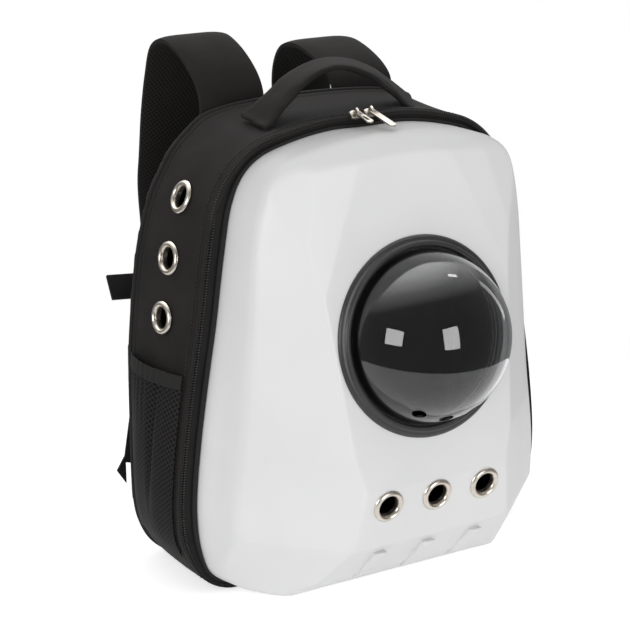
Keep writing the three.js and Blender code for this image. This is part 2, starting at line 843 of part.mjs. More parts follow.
function slider() {
  const body = new THREE.Shape();
  const half = SLIDER_HEIGHT / 2;
  body.moveTo(-SLIDER_LENGTH / 2, -half * 0.75);
  body.lineTo(-SLIDER_LENGTH / 4, -half);
  body.lineTo(SLIDER_LENGTH / 4, -half);
  body.lineTo(SLIDER_LENGTH / 2, -half * 0.5);
  body.lineTo(SLIDER_LENGTH / 2, half * 0.5);
  body.lineTo(SLIDER_LENGTH / 4, half);
  body.lineTo(-SLIDER_LENGTH / 4, half);
  body.lineTo(-SLIDER_LENGTH / 2, half * 0.75);
  body.closePath();
  const plate = new THREE.ExtrudeGeometry(body, { depth: SLIDER_THICK, bevelEnabled: false });
  plate.rotateX(Math.PI / 2);
  plate.translate(0, -sliderBack, 0);
  const crown = box(2.4, 5.2, 6.4, 0, -sliderFront - 2.2, 0);
  const eye = box(4, 3.6, 3.8, 0, -sliderFront - 1.8, 0);
  return geometryOf(solid(plate).add(crown.subtract(eye)));
}

// The pull lies forward over the edge of the shell, its eye round the crown.
function pull(length, slot) {
  const half = PULL_WIDTH / 2;
  const plate = new THREE.Shape();
  plate.moveTo(-half, -0.8);
  plate.lineTo(half, -0.8);
  plate.lineTo(half, length - half);
  plate.absarc(0, length - half, half, 0, Math.PI, false);
  plate.lineTo(-half, -0.8);
  const eye = new THREE.Path();
  eye.moveTo(-2.1, 0.8);
  eye.lineTo(-2.1, 5);
  eye.lineTo(2.1, 5);
  eye.lineTo(2.1, 0.8);
  eye.closePath();
  plate.holes.push(eye);
  if (slot) {
    const opening = new THREE.Path();
    opening.moveTo(-1.3, length * 0.4);
    opening.lineTo(-1.3, length * 0.82);
    opening.lineTo(1.3, length * 0.82);
    opening.lineTo(1.3, length * 0.4);
    opening.closePath();
    plate.holes.push(opening);
  }
  const made = new THREE.ExtrudeGeometry(plate, {
    depth: PULL_THICK,
    bevelEnabled: false,
    curveSegments: 8,
  });
  made.translate(0, 0, -PULL_THICK / 2);
  made.rotateX(Math.PI);
  return made;
}

// The adjuster is a frame with a middle bar that lies on the webbing.
function adjuster() {
  const frame = box(ADJUSTER_WIDTH, ADJUSTER_THICK, ADJUSTER_LENGTH, 0, 0, 0);
  const slotHeight = (ADJUSTER_LENGTH - 14) / 2;
  const upper = box(WEBBING_WIDTH + 1, ADJUSTER_THICK * 2, slotHeight, 0, 0, slotHeight / 2 + 2.5);
  const lower = box(WEBBING_WIDTH + 1, ADJUSTER_THICK * 2, slotHeight, 0, 0, -slotHeight / 2 - 2.5);
  return geometryOf(frame.subtract(upper).subtract(lower));
}

// A small triangle of webbing sewn into the rear seam at each lower corner.
function lowerTab(side) {
  const shape = new THREE.Shape();
  shape.moveTo(0, -TAB_HEIGHT / 2);
  shape.lineTo(TAB_REACH, 0);
  shape.lineTo(0, TAB_HEIGHT / 2);
  shape.closePath();
  const geometry = new THREE.ExtrudeGeometry(shape, { depth: 2.4, bevelEnabled: false });
  geometry.rotateX(Math.PI / 2);
  if (side < 0) {
    geometry.rotateZ(Math.PI);
  }
  return geometry;
}

for (const [name, geometry, material] of [
  ["shell_front", shell(), SHELL],
  ["dome_ring", domeRing(), RING],
  ["dome", dome(), CLEAR],
  ["shell_binding", shellBinding(), CLOTH],
  ["zip_tape", zipTape(), CLOTH],
  ["zip_coil", zipCoil(), PLASTIC],
  ["gusset_left", gusset(-1), CLOTH],
  ["gusset_right", gusset(1), CLOTH],
  ["rear_piping", rearPiping(), CLOTH],
  ["back_panel", backPanel(), PADDED],
  ["handle", handle(), PADDED],
  ["strap_left", strap(-1, STRAP_RISES.left), PADDED],
  ["strap_right", strap(1, STRAP_RISES.right), PADDED],
  ["webbing_left", webbing(-1), CLOTH],
  ["webbing_right", webbing(1), CLOTH],
  ["pocket_left", pocket(-1), MESH],
  ["pocket_right", pocket(1), MESH],
  ["pocket_binding_left", pocketBinding(-1), CLOTH],
  ["pocket_binding_right", pocketBinding(1), CLOTH],
]) {
  addMesh(name, geometry, material);
}
frontEyelets.forEach(({ place, out }, i) => {
  addMesh(`front_eyelet_${i + 1}`, eyelet(place, out, SHELL_WALL + 1.5, GAP), NICKEL);
});
for (const [name, side] of [["left", -1], ["right", 1]]) {
  sideEyelets(side).forEach(({ place, out }, i) => {
    addMesh(`side_eyelet_${name}_${i + 1}`, eyelet(place, out, GUSSET_WALL + 1.5, CLOTH_SEAT), NICKEL);
  });
}

// The adjusters lie on the outer face of the webbing, and the tabs stand in the rear seam.
for (const [name, side] of [["left", -1], ["right", 1]]) {
  const stop = webbingStops(side)[1];
  const face = stop.up.clone().multiplyScalar(Math.sign(stop.up.y));
  const lift = ADJUSTER_LIFT + (WEBBING_THICK + ADJUSTER_THICK) / 2;
  const frame = addMesh(`adjuster_${name}`, adjuster(), PLASTIC);
  const along = new THREE.Vector3().crossVectors(stop.across, face);
  frame.setRotationFromMatrix(new THREE.Matrix4().makeBasis(stop.across, face, along));
  frame.position.copy(stop.place).addScaledVector(face, lift);
  const over = lift + ADJUSTER_THICK / 2 + ADJUSTER_LIFT + WEBBING_THICK;
  addMesh(`webbing_tail_${name}`, webbingTail(side, stop, face, over), CLOTH);
  const seam = sidePlace(side, 1, TAB_UP, 0);
  const tab = addMesh(`lower_tab_${name}`, lowerTab(side), CLOTH);
  tab.position.set(seam.x + side * 2, padFront + PAD_THICK / 2, TAB_UP);
}

// The sliders meet near the top middle, each with its pull hung in the crown.
PULL_LENGTHS.forEach((length, i) => {
  const station = new THREE.Group();
  station.position.set((i - 1) * SLIDER_STEP + 4, -COIL_THICK / 2, zipMiddle);
  station.rotation.x = -tilt;
  bag.add(station);
  addMesh(`zip_slider_${i + 1}`, slider(), NICKEL, station);
  const hanging = addMesh(`zip_pull_${i + 1}`, pull(length, i === 0), NICKEL, station);
  hanging.position.set(0, -pivotDepth, 0);
  hanging.rotation.x = THREE.MathUtils.degToRad(PULL_DROOP) + tilt;
});

// The origin is on the floor below the middle of the whole bag.
bag.updateMatrixWorld(true);
const bounds = new THREE.Box3().setFromObject(bag);
bag.position.set(0, -(bounds.min.y + bounds.max.y) / 2, -bounds.min.z);

export default bag;
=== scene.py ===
"""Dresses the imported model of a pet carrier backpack: moulded shell, bubble window and cloth body."""
import math

import bpy
import numpy as np
from bpy.props import FloatProperty, PointerProperty
from mathutils import Matrix, Vector


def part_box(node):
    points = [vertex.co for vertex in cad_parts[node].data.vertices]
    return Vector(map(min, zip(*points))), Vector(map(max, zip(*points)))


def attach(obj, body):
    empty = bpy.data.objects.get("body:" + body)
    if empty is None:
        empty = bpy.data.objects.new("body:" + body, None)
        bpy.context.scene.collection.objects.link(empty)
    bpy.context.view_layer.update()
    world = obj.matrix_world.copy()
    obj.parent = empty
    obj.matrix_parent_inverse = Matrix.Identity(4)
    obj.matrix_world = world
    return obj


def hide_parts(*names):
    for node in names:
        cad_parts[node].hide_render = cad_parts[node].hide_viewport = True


bl_info = {
    "name": "Bubble Pet Carrier Backpack",
    "version": (1, 0, 0),
    "blender": (4, 5, 0),
    "location": "3D View > Sidebar > Carrier",
    "description": "Builds the visible pieces of a pet carrier backpack around its solids",
    "category": "Add Mesh",
}

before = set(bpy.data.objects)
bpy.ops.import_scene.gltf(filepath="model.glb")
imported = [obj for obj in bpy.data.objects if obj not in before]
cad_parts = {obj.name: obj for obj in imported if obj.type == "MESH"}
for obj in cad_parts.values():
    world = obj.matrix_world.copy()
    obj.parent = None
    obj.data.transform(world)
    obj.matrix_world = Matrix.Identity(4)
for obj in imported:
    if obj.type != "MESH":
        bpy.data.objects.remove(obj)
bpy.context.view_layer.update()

# The rim of the shell, where its depth is 0, in metres along Y.
RIM_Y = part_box("shell_front")[1].y

# Sizes of the solids, in millimetres.
SHELL_WIDTH = 358
SHELL_HEIGHT = 407
SHELL_DEPTH = 120
SHELL_WALL = 2.5
GAP = 0.3
CLOTH_SEAT = 0.7
DOME_RADIUS = 76
DOME_UP = 238
PANEL_DEPTH = 96.5
PANEL_LEAN = 0.194
RING_WIDTH = 11.5
RING_HEIGHT = 6.5
EYELET_RADIUS = 15
EYELET_HOLE = 9.4
EYELET_RISE = 2.6
FRONT_EYELET_STEP = 51
FRONT_EYELET_UP = 98.7
SIDE_EYELET_STEP = 53
SIDE_EYELET_UP = 247
SIDE_EYELET_BACK = 49
BINDING_WIDTH = 4.5
BINDING_DEPTH = 5
TAPE_THICK = 1
COIL_WIDTH = 6.5
ZIP_WIDTH = 17
ZIP_SQUEEZE = 0.42
ZIP_TOP_SQUEEZE = 0.62
GUSSET_DEPTH = 100
GUSSET_WALL = 2.5
GUSSET_BULGE = 3
TOP_SAG = 3
BODY_WIDTH = 372
BODY_HEIGHT = 420
PIPING = 4.6
PAD_THICK = 15
HANDLE_SPAN = 184
HANDLE_RISE = 38
HANDLE_WIDTH = 48
HANDLE_THICK = 7
HANDLE_BACK = 14
STRAP_WIDTH = 66
STRAP_THICK = 8
STRAP_APART = 140
STRAP_RISES = {"left": 47, "right": 31}
STRAP_REACH = 85
STRAP_END_WIDTH = 44
WEBBING_WIDTH = 25
WEBBING_THICK = 1.6
WEBBING_SAG = 3
ADJUSTER_LENGTH = 26
TAB_UP = 86
POCKET_UP = 205
POCKET_FOOT = 38
POCKET_BULGE = 9
POCKET_WALL = 1.4
POCKET_BINDING = 13

# Half outlines from the top middle round to the bottom middle.
# Columns: side, a share of half the width, and up, a share of the height.
RIM = [
    (0, 1), (0.23, 1), (0.46, 0.983), (0.61, 0.961), (0.7, 0.927), (0.76, 0.872),
    (0.81, 0.76), (0.858, 0.617), (0.91, 0.486), (0.955, 0.359), (0.983, 0.25),
    (0.988, 0.19), (0.972, 0.115), (0.92, 0.05), (0.82, 0.021), (0.55, 0.0185), (0, 0.0185),
]
SHOULDER = [
    (0, 1.005), (0.27, 0.998), (0.447, 0.984), (0.592, 0.966), (0.685, 0.934), (0.728, 0.885),
    (0.765, 0.8), (0.785, 0.688), (0.834, 0.43), (0.86, 0.337), (0.886, 0.233),
    (0.885, 0.157), (0.865, 0.072), (0.8, 0.02), (0.68, 0.002), (0.4, 0), (0, 0),
]
REAR = [
    (0, 1), (0.22, 0.998), (0.44, 0.99), (0.57, 0.976), (0.656, 0.948), (0.737, 0.914),
    (0.8, 0.871), (0.86, 0.82), (0.91, 0.75), (0.94, 0.69), (0.99, 0.5), (1, 0.326),
    (0.995, 0.143), (0.97, 0.09), (0.91, 0.04), (0.8, 0.004), (0.55, 0), (0, 0),
]

# The flat faces of the shell. Columns: a point (side, up), its depth, and how the depth changes
# over half the width and over the height, as shares of the shell's sizes.
FACES = [
    (0, 0.241, 0.985, 0, 0.577),
    (0, 0.133, 0.891, 0, 3.205),
    (0, 1.005, 0.458, 0, -3.053),
    (0.458, 0.364, 0.954, -1.238, -0.387),
    (0.458, 0.364, 0.958, -1.268, 0.102),
    (0.469, 0.147, 0.921, -1.305, 2.062),
    (0.335, 0.887, 0.606, -0.254, -0.916),
    (0.587, 0.887, 0.521, -0.597, -1.119),
]

RING_POINTS = 336
SHELL_ROWS = 124


def millimetres(points):
    """Points as (side, depth, up) in millimetres, as places in metres."""
    points = np.asarray(points, float)
    return np.stack(
        [points[..., 0], RIM_Y * 1000 - points[..., 1], points[..., 2]], -1
    ) / 1000


def smooth_line(points, count, closed=False):
    """Evenly spaced points on a smooth curve through the given ones."""
    points = np.asarray(points, float)
    if closed:
        run = np.vstack([points[-1:], points, points[:2]])
    else:
        run = np.vstack([2 * points[0] - points[1], points, 2 * points[-1] - points[-2]])
    share = np.linspace(0, 1, 32, endpoint=False)[:, None]
    pieces = []
    for a, b, c, d in zip(run, run[1:], run[2:], run[3:]):
        first, middle, last = (math.sqrt(np.linalg.norm(q - p)) for p, q in ((a, b), (b, c), (c, d)))
        leave = ((b - a) / first - (c - a) / (first + middle) + (c - b) / middle) * middle
        arrive = ((c - b) / middle - (d - b) / (middle + last) + (d - c) / last) * middle
        pieces.append(
            (2 * share**3 - 3 * share**2 + 1) * b
            + (share**3 - 2 * share**2 + share) * leave
            + (3 * share**2 - 2 * share**3) * c
            + (share**3 - share**2) * arrive
        )
    line = np.vstack([*pieces, points[:1] if closed else points[-1:]])
    return evenly(line, count, not closed)


def evenly(line, count, endpoint=True):
    """The same line with its points evenly spaced."""
    along = np.concatenate([[0], np.cumsum(np.linalg.norm(np.diff(line, axis=0), axis=1))])
    wanted = np.linspace(0, along[-1], count, endpoint=endpoint)
    return np.stack([np.interp(wanted, along, line[:, k]) for k in range(line.shape[1])], 1)


def outline(table, width, height, count=RING_POINTS):
    """A half outline table as a closed ring of (side, up)."""
    half = [(side * width / 2, up * height) for side, up in table]
    other = [(-side, up) for side, up in half[-2:0:-1]]
    return smooth_line(half + other, count, closed=True)


def outward(ring):
    """The outward direction at each point of a ring."""
    ahead, behind = np.roll(ring, -1, 0), np.roll(ring, 1, 0)
    out = np.stack([behind[:, 1] - ahead[:, 1], ahead[:, 0] - behind[:, 0]], 1)
    return out / np.linalg.norm(out, axis=1)[:, None]


RIM_RING = outline(RIM, SHELL_WIDTH, SHELL_HEIGHT)
RIM_OUT = outward(RIM_RING)
SHOULDER_RING = outline(SHOULDER, SHELL_WIDTH, SHELL_HEIGHT)
REAR_RING = outline(REAR, BODY_WIDTH, BODY_HEIGHT)
REAR_OUT = outward(REAR_RING)


def smoothstep(value, low, high):
    """0 below low, 1 above high, and a soft rise between."""
    share = np.clip((np.asarray(value, float) - low) / (high - low), 0, 1)
    return share * share * (3 - 2 * share)


def with_depth(ring, depth, floor=0):
    """A ring of (side, up) at a depth, no lower than the floor that it stands on."""
    up = np.maximum(ring[:, 1], floor)
    return np.stack([ring[:, 0], np.full(len(ring), float(depth)), up], 1)


def zip_share(up):
    """The share of the zipper's width that shows: less where the bag stands on it and over the top."""
    rise = smoothstep(up, SHELL_HEIGHT * 0.02, SHELL_HEIGHT * 0.16)
    top = smoothstep(up, SHELL_HEIGHT * 0.84, SHELL_HEIGHT * 0.97)
    return ZIP_SQUEEZE + (1 - ZIP_SQUEEZE) * rise - (1 - ZIP_TOP_SQUEEZE) * top


def beside_rim(offset, depth):
    """A ring outside the rim of the shell."""
    reach = offset * zip_share(RIM_RING[:, 1])
    return with_depth(RIM_RING + RIM_OUT * reach[:, None], depth)


def body_ring(share, offset):
    """A ring on the cloth body, from the zipper at 0 to the rear seam at 1."""
    front = beside_rim(ZIP_WIDTH, 0)[:, [0, 2]]
    out = RIM_OUT * (1 - share) + REAR_OUT * share
    out /= np.linalg.norm(out, axis=1)[:, None]
    side = np.abs(out[:, 0]) * GUSSET_BULGE - np.maximum(out[:, 1], 0) * TOP_SAG
    bulge = side * math.sin(math.pi * share)
    ring = front * (1 - share) + REAR_RING * share + out * (offset + bulge)[:, None]
    return with_depth(ring, -GUSSET_DEPTH * share, max(0, -offset))


def rear_at(offset, depth):
    """A ring outside the rear outline of the body."""
    return with_depth(REAR_RING + REAR_OUT * offset, -depth, max(0, -offset))


def side_place(side, share, up):
    """The place on one side of the body at a height."""
    ring = body_ring(share, 0)
    ring = ring[ring[:, 0] * side > 100]
    ring = ring[np.argsort(ring[:, 2])]
    across = np.interp(up, ring[:, 2], ring[:, 0])
    return np.array([across, -GUSSET_DEPTH * share, up])


def side_seat(side, share, up, reach):
    """A place on the side of the body, and the direction square to the cloth there."""
    step = reach / GUSSET_DEPTH
    rise = side_place(side, share, up + reach) - side_place(side, share, up - reach)
    back = side_place(side, share + step, up) - side_place(side, share - step, up)
    out = np.cross(rise, back)
    out /= np.linalg.norm(out)
    return side_place(side, share, up), out * math.copysign(1, out[0] * side)


def body_top(share, across):
    """The height of the body's top at a distance to the side."""
    ring = body_ring(share, 0)
    ring = ring[ring[:, 2] > BODY_HEIGHT / 2]
    ring = ring[np.argsort(ring[:, 0])]
    return float(np.interp(across, ring[:, 0], ring[:, 2]))


def only(obj):
    """Selects one object alone and makes it the active one."""
    bpy.ops.object.select_all(action="DESELECT")
    obj.select_set(True)
    bpy.context.view_layer.objects.active = obj


def edit(obj, *steps):
    """Runs edit mode steps on the whole of a piece."""
    only(obj)
    bpy.ops.object.mode_set(mode="EDIT")
    bpy.ops.mesh.select_all(action="SELECT")
    for step in steps:
        step()
    bpy.ops.object.mode_set(mode="OBJECT")


def modify(obj, kind, **settings):
    """Adds one modifier and applies it."""
    only(obj)
    modifier = obj.modifiers.new(kind.title(), kind)
    for name, value in settings.items():
        setattr(modifier, name, value)
    bpy.ops.object.modifier_apply(modifier=modifier.name)


def laid_grid(name, points, wrap=False, ends=False, inside_out=False):
    """A primitive grid whose corners are laid on rows of places in metres.

    wrap closes each row on itself and ends closes the first and last row with the next ones."""
    points = np.asarray(points, float)
    if wrap:
        points = np.concatenate([points, points[:, :1]], 1)
    if ends:
        points = np.concatenate([points, points[:1]], 0)
    rows, columns, _ = points.shape
    bpy.ops.object.select_all(action="DESELECT")
    bpy.ops.mesh.primitive_grid_add(x_subdivisions=columns - 1, y_subdivisions=rows - 1, size=1)
    obj = bpy.context.object
    obj.name = obj.data.name = name
    obj.data.vertices.foreach_set("co", points.reshape(-1).astype(np.float32))
    along = np.linalg.norm(np.diff(points, axis=1), axis=2).mean(0)
    across = np.linalg.norm(np.diff(points, axis=0), axis=2).mean(1)
    table = np.stack(
        np.meshgrid(np.concatenate([[0], np.cumsum(along)]), np.concatenate([[0], np.cumsum(across)])), -1
    ).reshape(-1, 2)
    index = np.zeros(len(obj.data.loops), np.int32)
    obj.data.loops.foreach_get("vertex_index", index)
    obj.data.uv_layers.active.data.foreach_set("uv", table[index].reshape(-1).astype(np.float32))
    steps = [lambda: bpy.ops.mesh.remove_doubles(threshold=1e-6)]
    if wrap and ends:
        steps.append(lambda: bpy.ops.mesh.normals_make_consistent(inside=False))
    elif inside_out:
        steps.append(bpy.ops.mesh.flip_normals)
    edit(obj, *steps)
    return obj


def turned(name, profile, steps, place, out):
    """A profile of (radius, height) in millimetres spun about a direction at a place."""
    bpy.ops.object.select_all(action="DESELECT")
    bpy.ops.mesh.primitive_circle_add(vertices=len(profile), radius=0.01, fill_type="NOTHING")
    obj = bpy.context.object
    obj.name = obj.data.name = name
    for vertex, (radius, height) in zip(obj.data.vertices, profile):
        vertex.co = (radius / 1000, 0, height / 1000)
    edit(
        obj,
        lambda: bpy.ops.mesh.spin(
            steps=steps, angle=math.tau, center=(0, 0, 0), axis=(0, 0, 1), dupli=False
        ),
        lambda: bpy.ops.mesh.select_all(action="SELECT"),
        lambda: bpy.ops.mesh.remove_doubles(threshold=2e-6),
        lambda: bpy.ops.mesh.normals_make_consistent(inside=False),
    )
    stand_at(obj, place, out)
    return obj


def stand_at(obj, place, out):
    """Stands a piece modelled upright at the origin on a place, facing a direction."""
    turn = Vector((0, 0, 1)).rotation_difference(Vector(out)).to_matrix().to_4x4()
    obj.data.transform(Matrix.Translation(Vector(millimetres(place))) @ turn)


def facing(out):
    """A direction given as (side, depth, up) in the frame's axes."""
    return Vector((out[0], -out[1], out[2])).normalized()


def subtract(obj, cutters, operation="DIFFERENCE"):
    """Cuts other closed pieces out of a piece, or joins them to it, and removes them."""
    for cutter in cutters:
        modify(obj, "BOOLEAN", operation=operation, object=cutter, solver="MANIFOLD")
        bpy.data.objects.remove(cutter)


def rod(radius, low, high, place, out, sides=48):
    """A closed cylinder along a direction, for cutting."""
    bpy.ops.object.select_all(action="DESELECT")
    bpy.ops.mesh.primitive_cylinder_add(
        vertices=sides, radius=radius / 1000, depth=(high - low) / 1000, location=(0, 0, 0)
    )
    obj = bpy.context.object
    obj.data.transform(Matrix.Translation((0, 0, (low + high) / 2000)))
    stand_at(obj, place, out)
    return obj


def copied_node(node, name, bevel):
    """A copy of a hard CAD piece with its loose triangles merged and its edges rounded."""
    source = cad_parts[node]
    obj = source.copy()
    obj.data = source.data.copy()
    obj.name = obj.data.name = name
    for key in list(obj.keys()):
        del obj[key]
    obj.parent = None
    obj.matrix_world = Matrix.Identity(4)
    obj.hide_render = obj.hide_viewport = False
    bpy.context.scene.collection.objects.link(obj)
    edit(
        obj,
        lambda: bpy.ops.mesh.remove_doubles(threshold=1e-6),
        lambda: bpy.ops.mesh.dissolve_limited(angle_limit=math.radians(2)),
    )
    modify(
        obj, "BEVEL", width=bevel / 1000, segments=3, limit_method="ANGLE",
        angle_limit=math.radians(28), harden_normals=False,
    )
    return obj


def dress(obj, material, nodes=(), body="bag", angle=35):
    """Gives a finished piece its material, its smooth shading and the body that it rides on."""
    if material is not None:
        obj.data.materials.clear()
        obj.data.materials.append(material)
    only(obj)
    bpy.ops.object.shade_smooth_by_angle(angle=math.radians(angle))
    if nodes:
        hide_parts(*nodes)
    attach(obj, body)
    return obj


def linear(colour):
    """An sRGB hex colour as linear red, green, blue and alpha."""
    parts = [int(colour[i : i + 2], 16) / 255 for i in (1, 3, 5)]
    return (*[v / 12.92 if v <= 0.04045 else ((v + 0.055) / 1.055) ** 2.4 for v in parts], 1)


def add_node(tree, kind, sockets=(), **settings):
    """Adds a node with its settings. A socket takes a value, or the output that it is joined to."""
    made = tree.nodes.new(kind)
    for name, value in settings.items():
        setattr(made, name, value)
    for name, value in dict(sockets).items():
        if isinstance(value, bpy.types.NodeSocket):
            tree.links.new(value, made.inputs[name])
        else:
            made.inputs[name].default_value = value
    return made


def new_material(name, **values):
    """A material with one principled shader, its even values set on the shader's own sockets."""
    made = bpy.data.materials.new(name)
    made.use_nodes = True
    tree = made.node_tree
    tree.nodes.clear()
    sockets = {name.replace("_", " "): value for name, value in values.items()}
    shader = add_node(tree, "ShaderNodeBsdfPrincipled", sockets)
    add_node(tree, "ShaderNodeOutputMaterial", {"Surface": shader.outputs[0]})
    return made, tree, shader


def own_place(tree):
    """The object's own metres."""
    return add_node(tree, "ShaderNodeTexCoord").outputs["Object"]


def own_flat(tree):
    """The metres along and across the cloth that a piece is made of."""
    return add_node(tree, "ShaderNodeTexCoord").outputs["UV"]


def noise(tree, scale, detail):
    """A noise with so many waves in a metre."""
    sockets = {"Vector": own_place(tree), "Scale": scale, "Detail": detail}
    return add_node(tree, "ShaderNodeTexNoise", sockets).outputs["Fac"]


def two_tone(tree, shader, value, dark, light, low=0.0, high=1.0):
    """Colours a surface between two hex colours as a value goes from low to high."""
    ramp = add_node(tree, "ShaderNodeValToRGB", {"Fac": value})
    for stop, position, colour in zip(ramp.color_ramp.elements, (low, high), (dark, light)):
        stop.position = position
        stop.color = linear(colour)
    tree.links.new(ramp.outputs["Color"], shader.inputs["Base Color"])
    return ramp.outputs["Color"]


def mottled(tree, shader, scale, dark, light, detail=4.0):
    """Lets a noise vary the colour of a surface between two hex colours."""
    value = noise(tree, scale, detail)
    two_tone(tree, shader, value, dark, light, 0.3, 0.7)
    return value


def relief(tree, shader, height, strength, distance, under=None):
    """Raises a surface by a height in metres, on top of another relief if one is given."""
    sockets = {"Height": height, "Strength": strength, "Distance": distance}
    if under is not None:
        sockets["Normal"] = under
    bump = add_node(tree, "ShaderNodeBump", sockets).outputs["Normal"]
    tree.links.new(bump, shader.inputs["Normal"])
    return bump


def bands(tree, scale, direction, distortion=0.0):
    """Waves along one direction of the cloth."""
    sockets = {"Vector": own_flat(tree), "Scale": scale, "Distortion": distortion}
    return add_node(tree, "ShaderNodeTexWave", sockets, bands_direction=direction).outputs["Fac"]


def moulded_shell_plastic():
    """Vacuum-formed ABS. It gives the eye an even cool white with a satin sheen and a fine grain."""
    made, tree, shader = new_material("moulded_abs_white", Roughness=0.46, Specular_IOR_Level=0.3)
    mottled(tree, shader, 9, "#dadadb", "#dfdfdf", 2.0)
    # The mould's grain is about 0.4 mm. It is drawn at 1 mm so that it shows.
    relief(tree, shader, noise(tree, 1000, 2.0), 0.05, 0.0002)
    return made


def ring_rubber():
    """Thermoplastic rubber. It gives the eye a dark grey lip with broad soft highlights."""
    made, tree, shader = new_material("moulded_tpr_dark", Roughness=0.42, IOR=1.5)
    value = mottled(tree, shader, 220, "#242425", "#2c2c2d")
    relief(tree, shader, value, 0.08, 0.0003)
    return made


def window_acrylic():
    """Blown acrylic. It gives the eye a clear, faintly smoky bubble that mirrors the room."""
    made, _, _ = new_material(
        "blown_acrylic_smoky", Roughness=0.0, IOR=1.49,
        Transmission_Weight=1.0, Base_Color=linear("#c4c5c7"),
    )
    return made


def plated_metal():
    """Nickel plate on brass. It gives the eye warm grey mirrors, a little dulled by handling."""
    made, tree, shader = new_material("nickel_plate_worn", Metallic=1.0)
    value = mottled(tree, shader, 160, "#b9b2a8", "#cfc8be")
    rough = add_node(tree, "ShaderNodeMapRange", {"Value": value, "To Min": 0.24, "To Max": 0.4})
    tree.links.new(rough.outputs["Result"], shader.inputs["Roughness"])
    return made


def woven_cloth(name, dark, light, thread, rough=0.8):
    """Coated oxford polyester. It gives the eye a near black with a plain weave and a faint sheen.

    The weave follows the piece's own metres, one thread in the given millimetres. Real threads are
    about 0.4 mm, and are drawn coarser so that they show."""
    made, tree, shader = new_material(
        name, Roughness=rough, Specular_IOR_Level=0.14, Sheen_Weight=0.02
    )
    mottled(tree, shader, 28, dark, light, 6.0)
    turns = 1000 / thread / 6.2832
    threads = {0: bands(tree, turns * math.pi, "X"), 1: bands(tree, turns * math.pi, "Y")}
    weave = add_node(tree, "ShaderNodeMath", threads, operation="MULTIPLY")
    fine = relief(tree, shader, weave.outputs["Value"], 0.25, 0.0003)
    relief(tree, shader, noise(tree, 24, 3.0), 0.35, 0.002, fine)
    return made


def padded_cloth():
    """The same polyester over foam. With no seams to follow it is woven in the object's own metres."""
    made, tree, shader = new_material(
        "oxford_over_foam", Roughness=0.8, Specular_IOR_Level=0.14, Sheen_Weight=0.02
    )
    mottled(tree, shader, 30, "#1b1918", "#242120", 6.0)
    sockets = {"Vector": own_place(tree), "Scale": 900, "Randomness": 0.35}
    weave = add_node(tree, "ShaderNodeTexVoronoi", sockets).outputs["Distance"]
    fine = relief(tree, shader, weave, 0.3, 0.0003)
    relief(tree, shader, noise(tree, 35, 3.0), 0.4, 0.002, fine)
    return made


def pocket_mesh(name, pitch, hole, dark, light):
    """Knitted polyester mesh. It gives the eye slanting rows of round holes in a dull black web. The holes
    are not cut but painted near black: the dark layer behind them, and painted shade inside them.
    """
    made, tree, shader = new_material(
        name, Roughness=0.75, Specular_IOR_Level=0.12, Sheen_Weight=0.01
    )
    slant, web = math.radians(38), 0.12
    turn = add_node(
        tree, "ShaderNodeMapping",
        {"Vector": own_flat(tree), "Rotation": (0, 0, slant), "Scale": (1000 / pitch, 1000 / pitch, 1)},
    )
    cells = add_node(
        tree, "ShaderNodeTexVoronoi",
        {"Vector": turn.outputs["Vector"], "Scale": 1.0, "Randomness": 0.0}, voronoi_dimensions="2D",
    )
    # The holes take the dark colour: painted shade over the dark layer behind, in place of real openings.
    colour = two_tone(tree, shader, cells.outputs["Distance"], dark, light, hole, hole + web)
    relief(tree, shader, colour, 0.8, 0.0012)
    return made


def ribbed_webbing(name, dark, light, rib):
    """Woven nylon webbing. It gives the eye fine ribs across a dark band, with painted shade in the grooves
    between the ribs and the crests painted lighter.
    """
    made, tree, shader = new_material(
        name, Roughness=0.65, Specular_IOR_Level=0.15, Sheen_Weight=0.01
    )
    ribs = bands(tree, 1000 / rib / 2, "X", 0.4)
    # Painted shade: the grooves between the ribs take the dark colour and the raised crests the light one.
    two_tone(tree, shader, ribs, dark, light)
    relief(tree, shader, ribs, 0.4, 0.0004)
    return made


def moulded_black(name, colour, rough):
    """Injection moulded nylon. It gives the eye a plain black with small bright edges."""
    made, tree, shader = new_material(name, Roughness=rough, IOR=1.53)
    value = mottled(tree, shader, 400, colour, "#262626")
    relief(tree, shader, value, 0.1, 0.0002)
    return made


MATERIALS = {}


def materials():
    """All the finishes, made once."""
    if not MATERIALS:
        MATERIALS.update(
            shell=moulded_shell_plastic(),
            ring=ring_rubber(),
            window=window_acrylic(),
            metal=plated_metal(),
            cloth=woven_cloth("oxford_polyester", "#1d1b1a", "#252221", 1.1),
            tape=woven_cloth("zipper_tape", "#1e1e1e", "#262625", 0.9, 0.85),
            # Painted shade: the first colour of the binding and of the webbing below is the shade in the
            # grooves between their ribs.
            binding=ribbed_webbing("grosgrain_binding", "#1c1b1b", "#2a2928", 1.0),
            padded=padded_cloth(),
            # Painted shade: the first colour of the spacer and of the knitted mesh fills their holes, the
            # dark layer behind with the shade inside them.
            spacer=pocket_mesh("spacer_mesh", 3.2, 0.22, "#0b0b0b", "#252322"),
            mesh=pocket_mesh("knitted_mesh", 3.6, 0.27, "#030303", "#242222"),
            webbing=ribbed_webbing("nylon_webbing", "#151515", "#262626", 1.5),
            coil=moulded_black("nylon_coil", "#1a1a1a", 0.42),
            buckle=moulded_black("acetal_black", "#141414", 0.38),
            thread=moulded_black("bonded_thread", "#202020", 0.6),
        )
    return MATERIALS


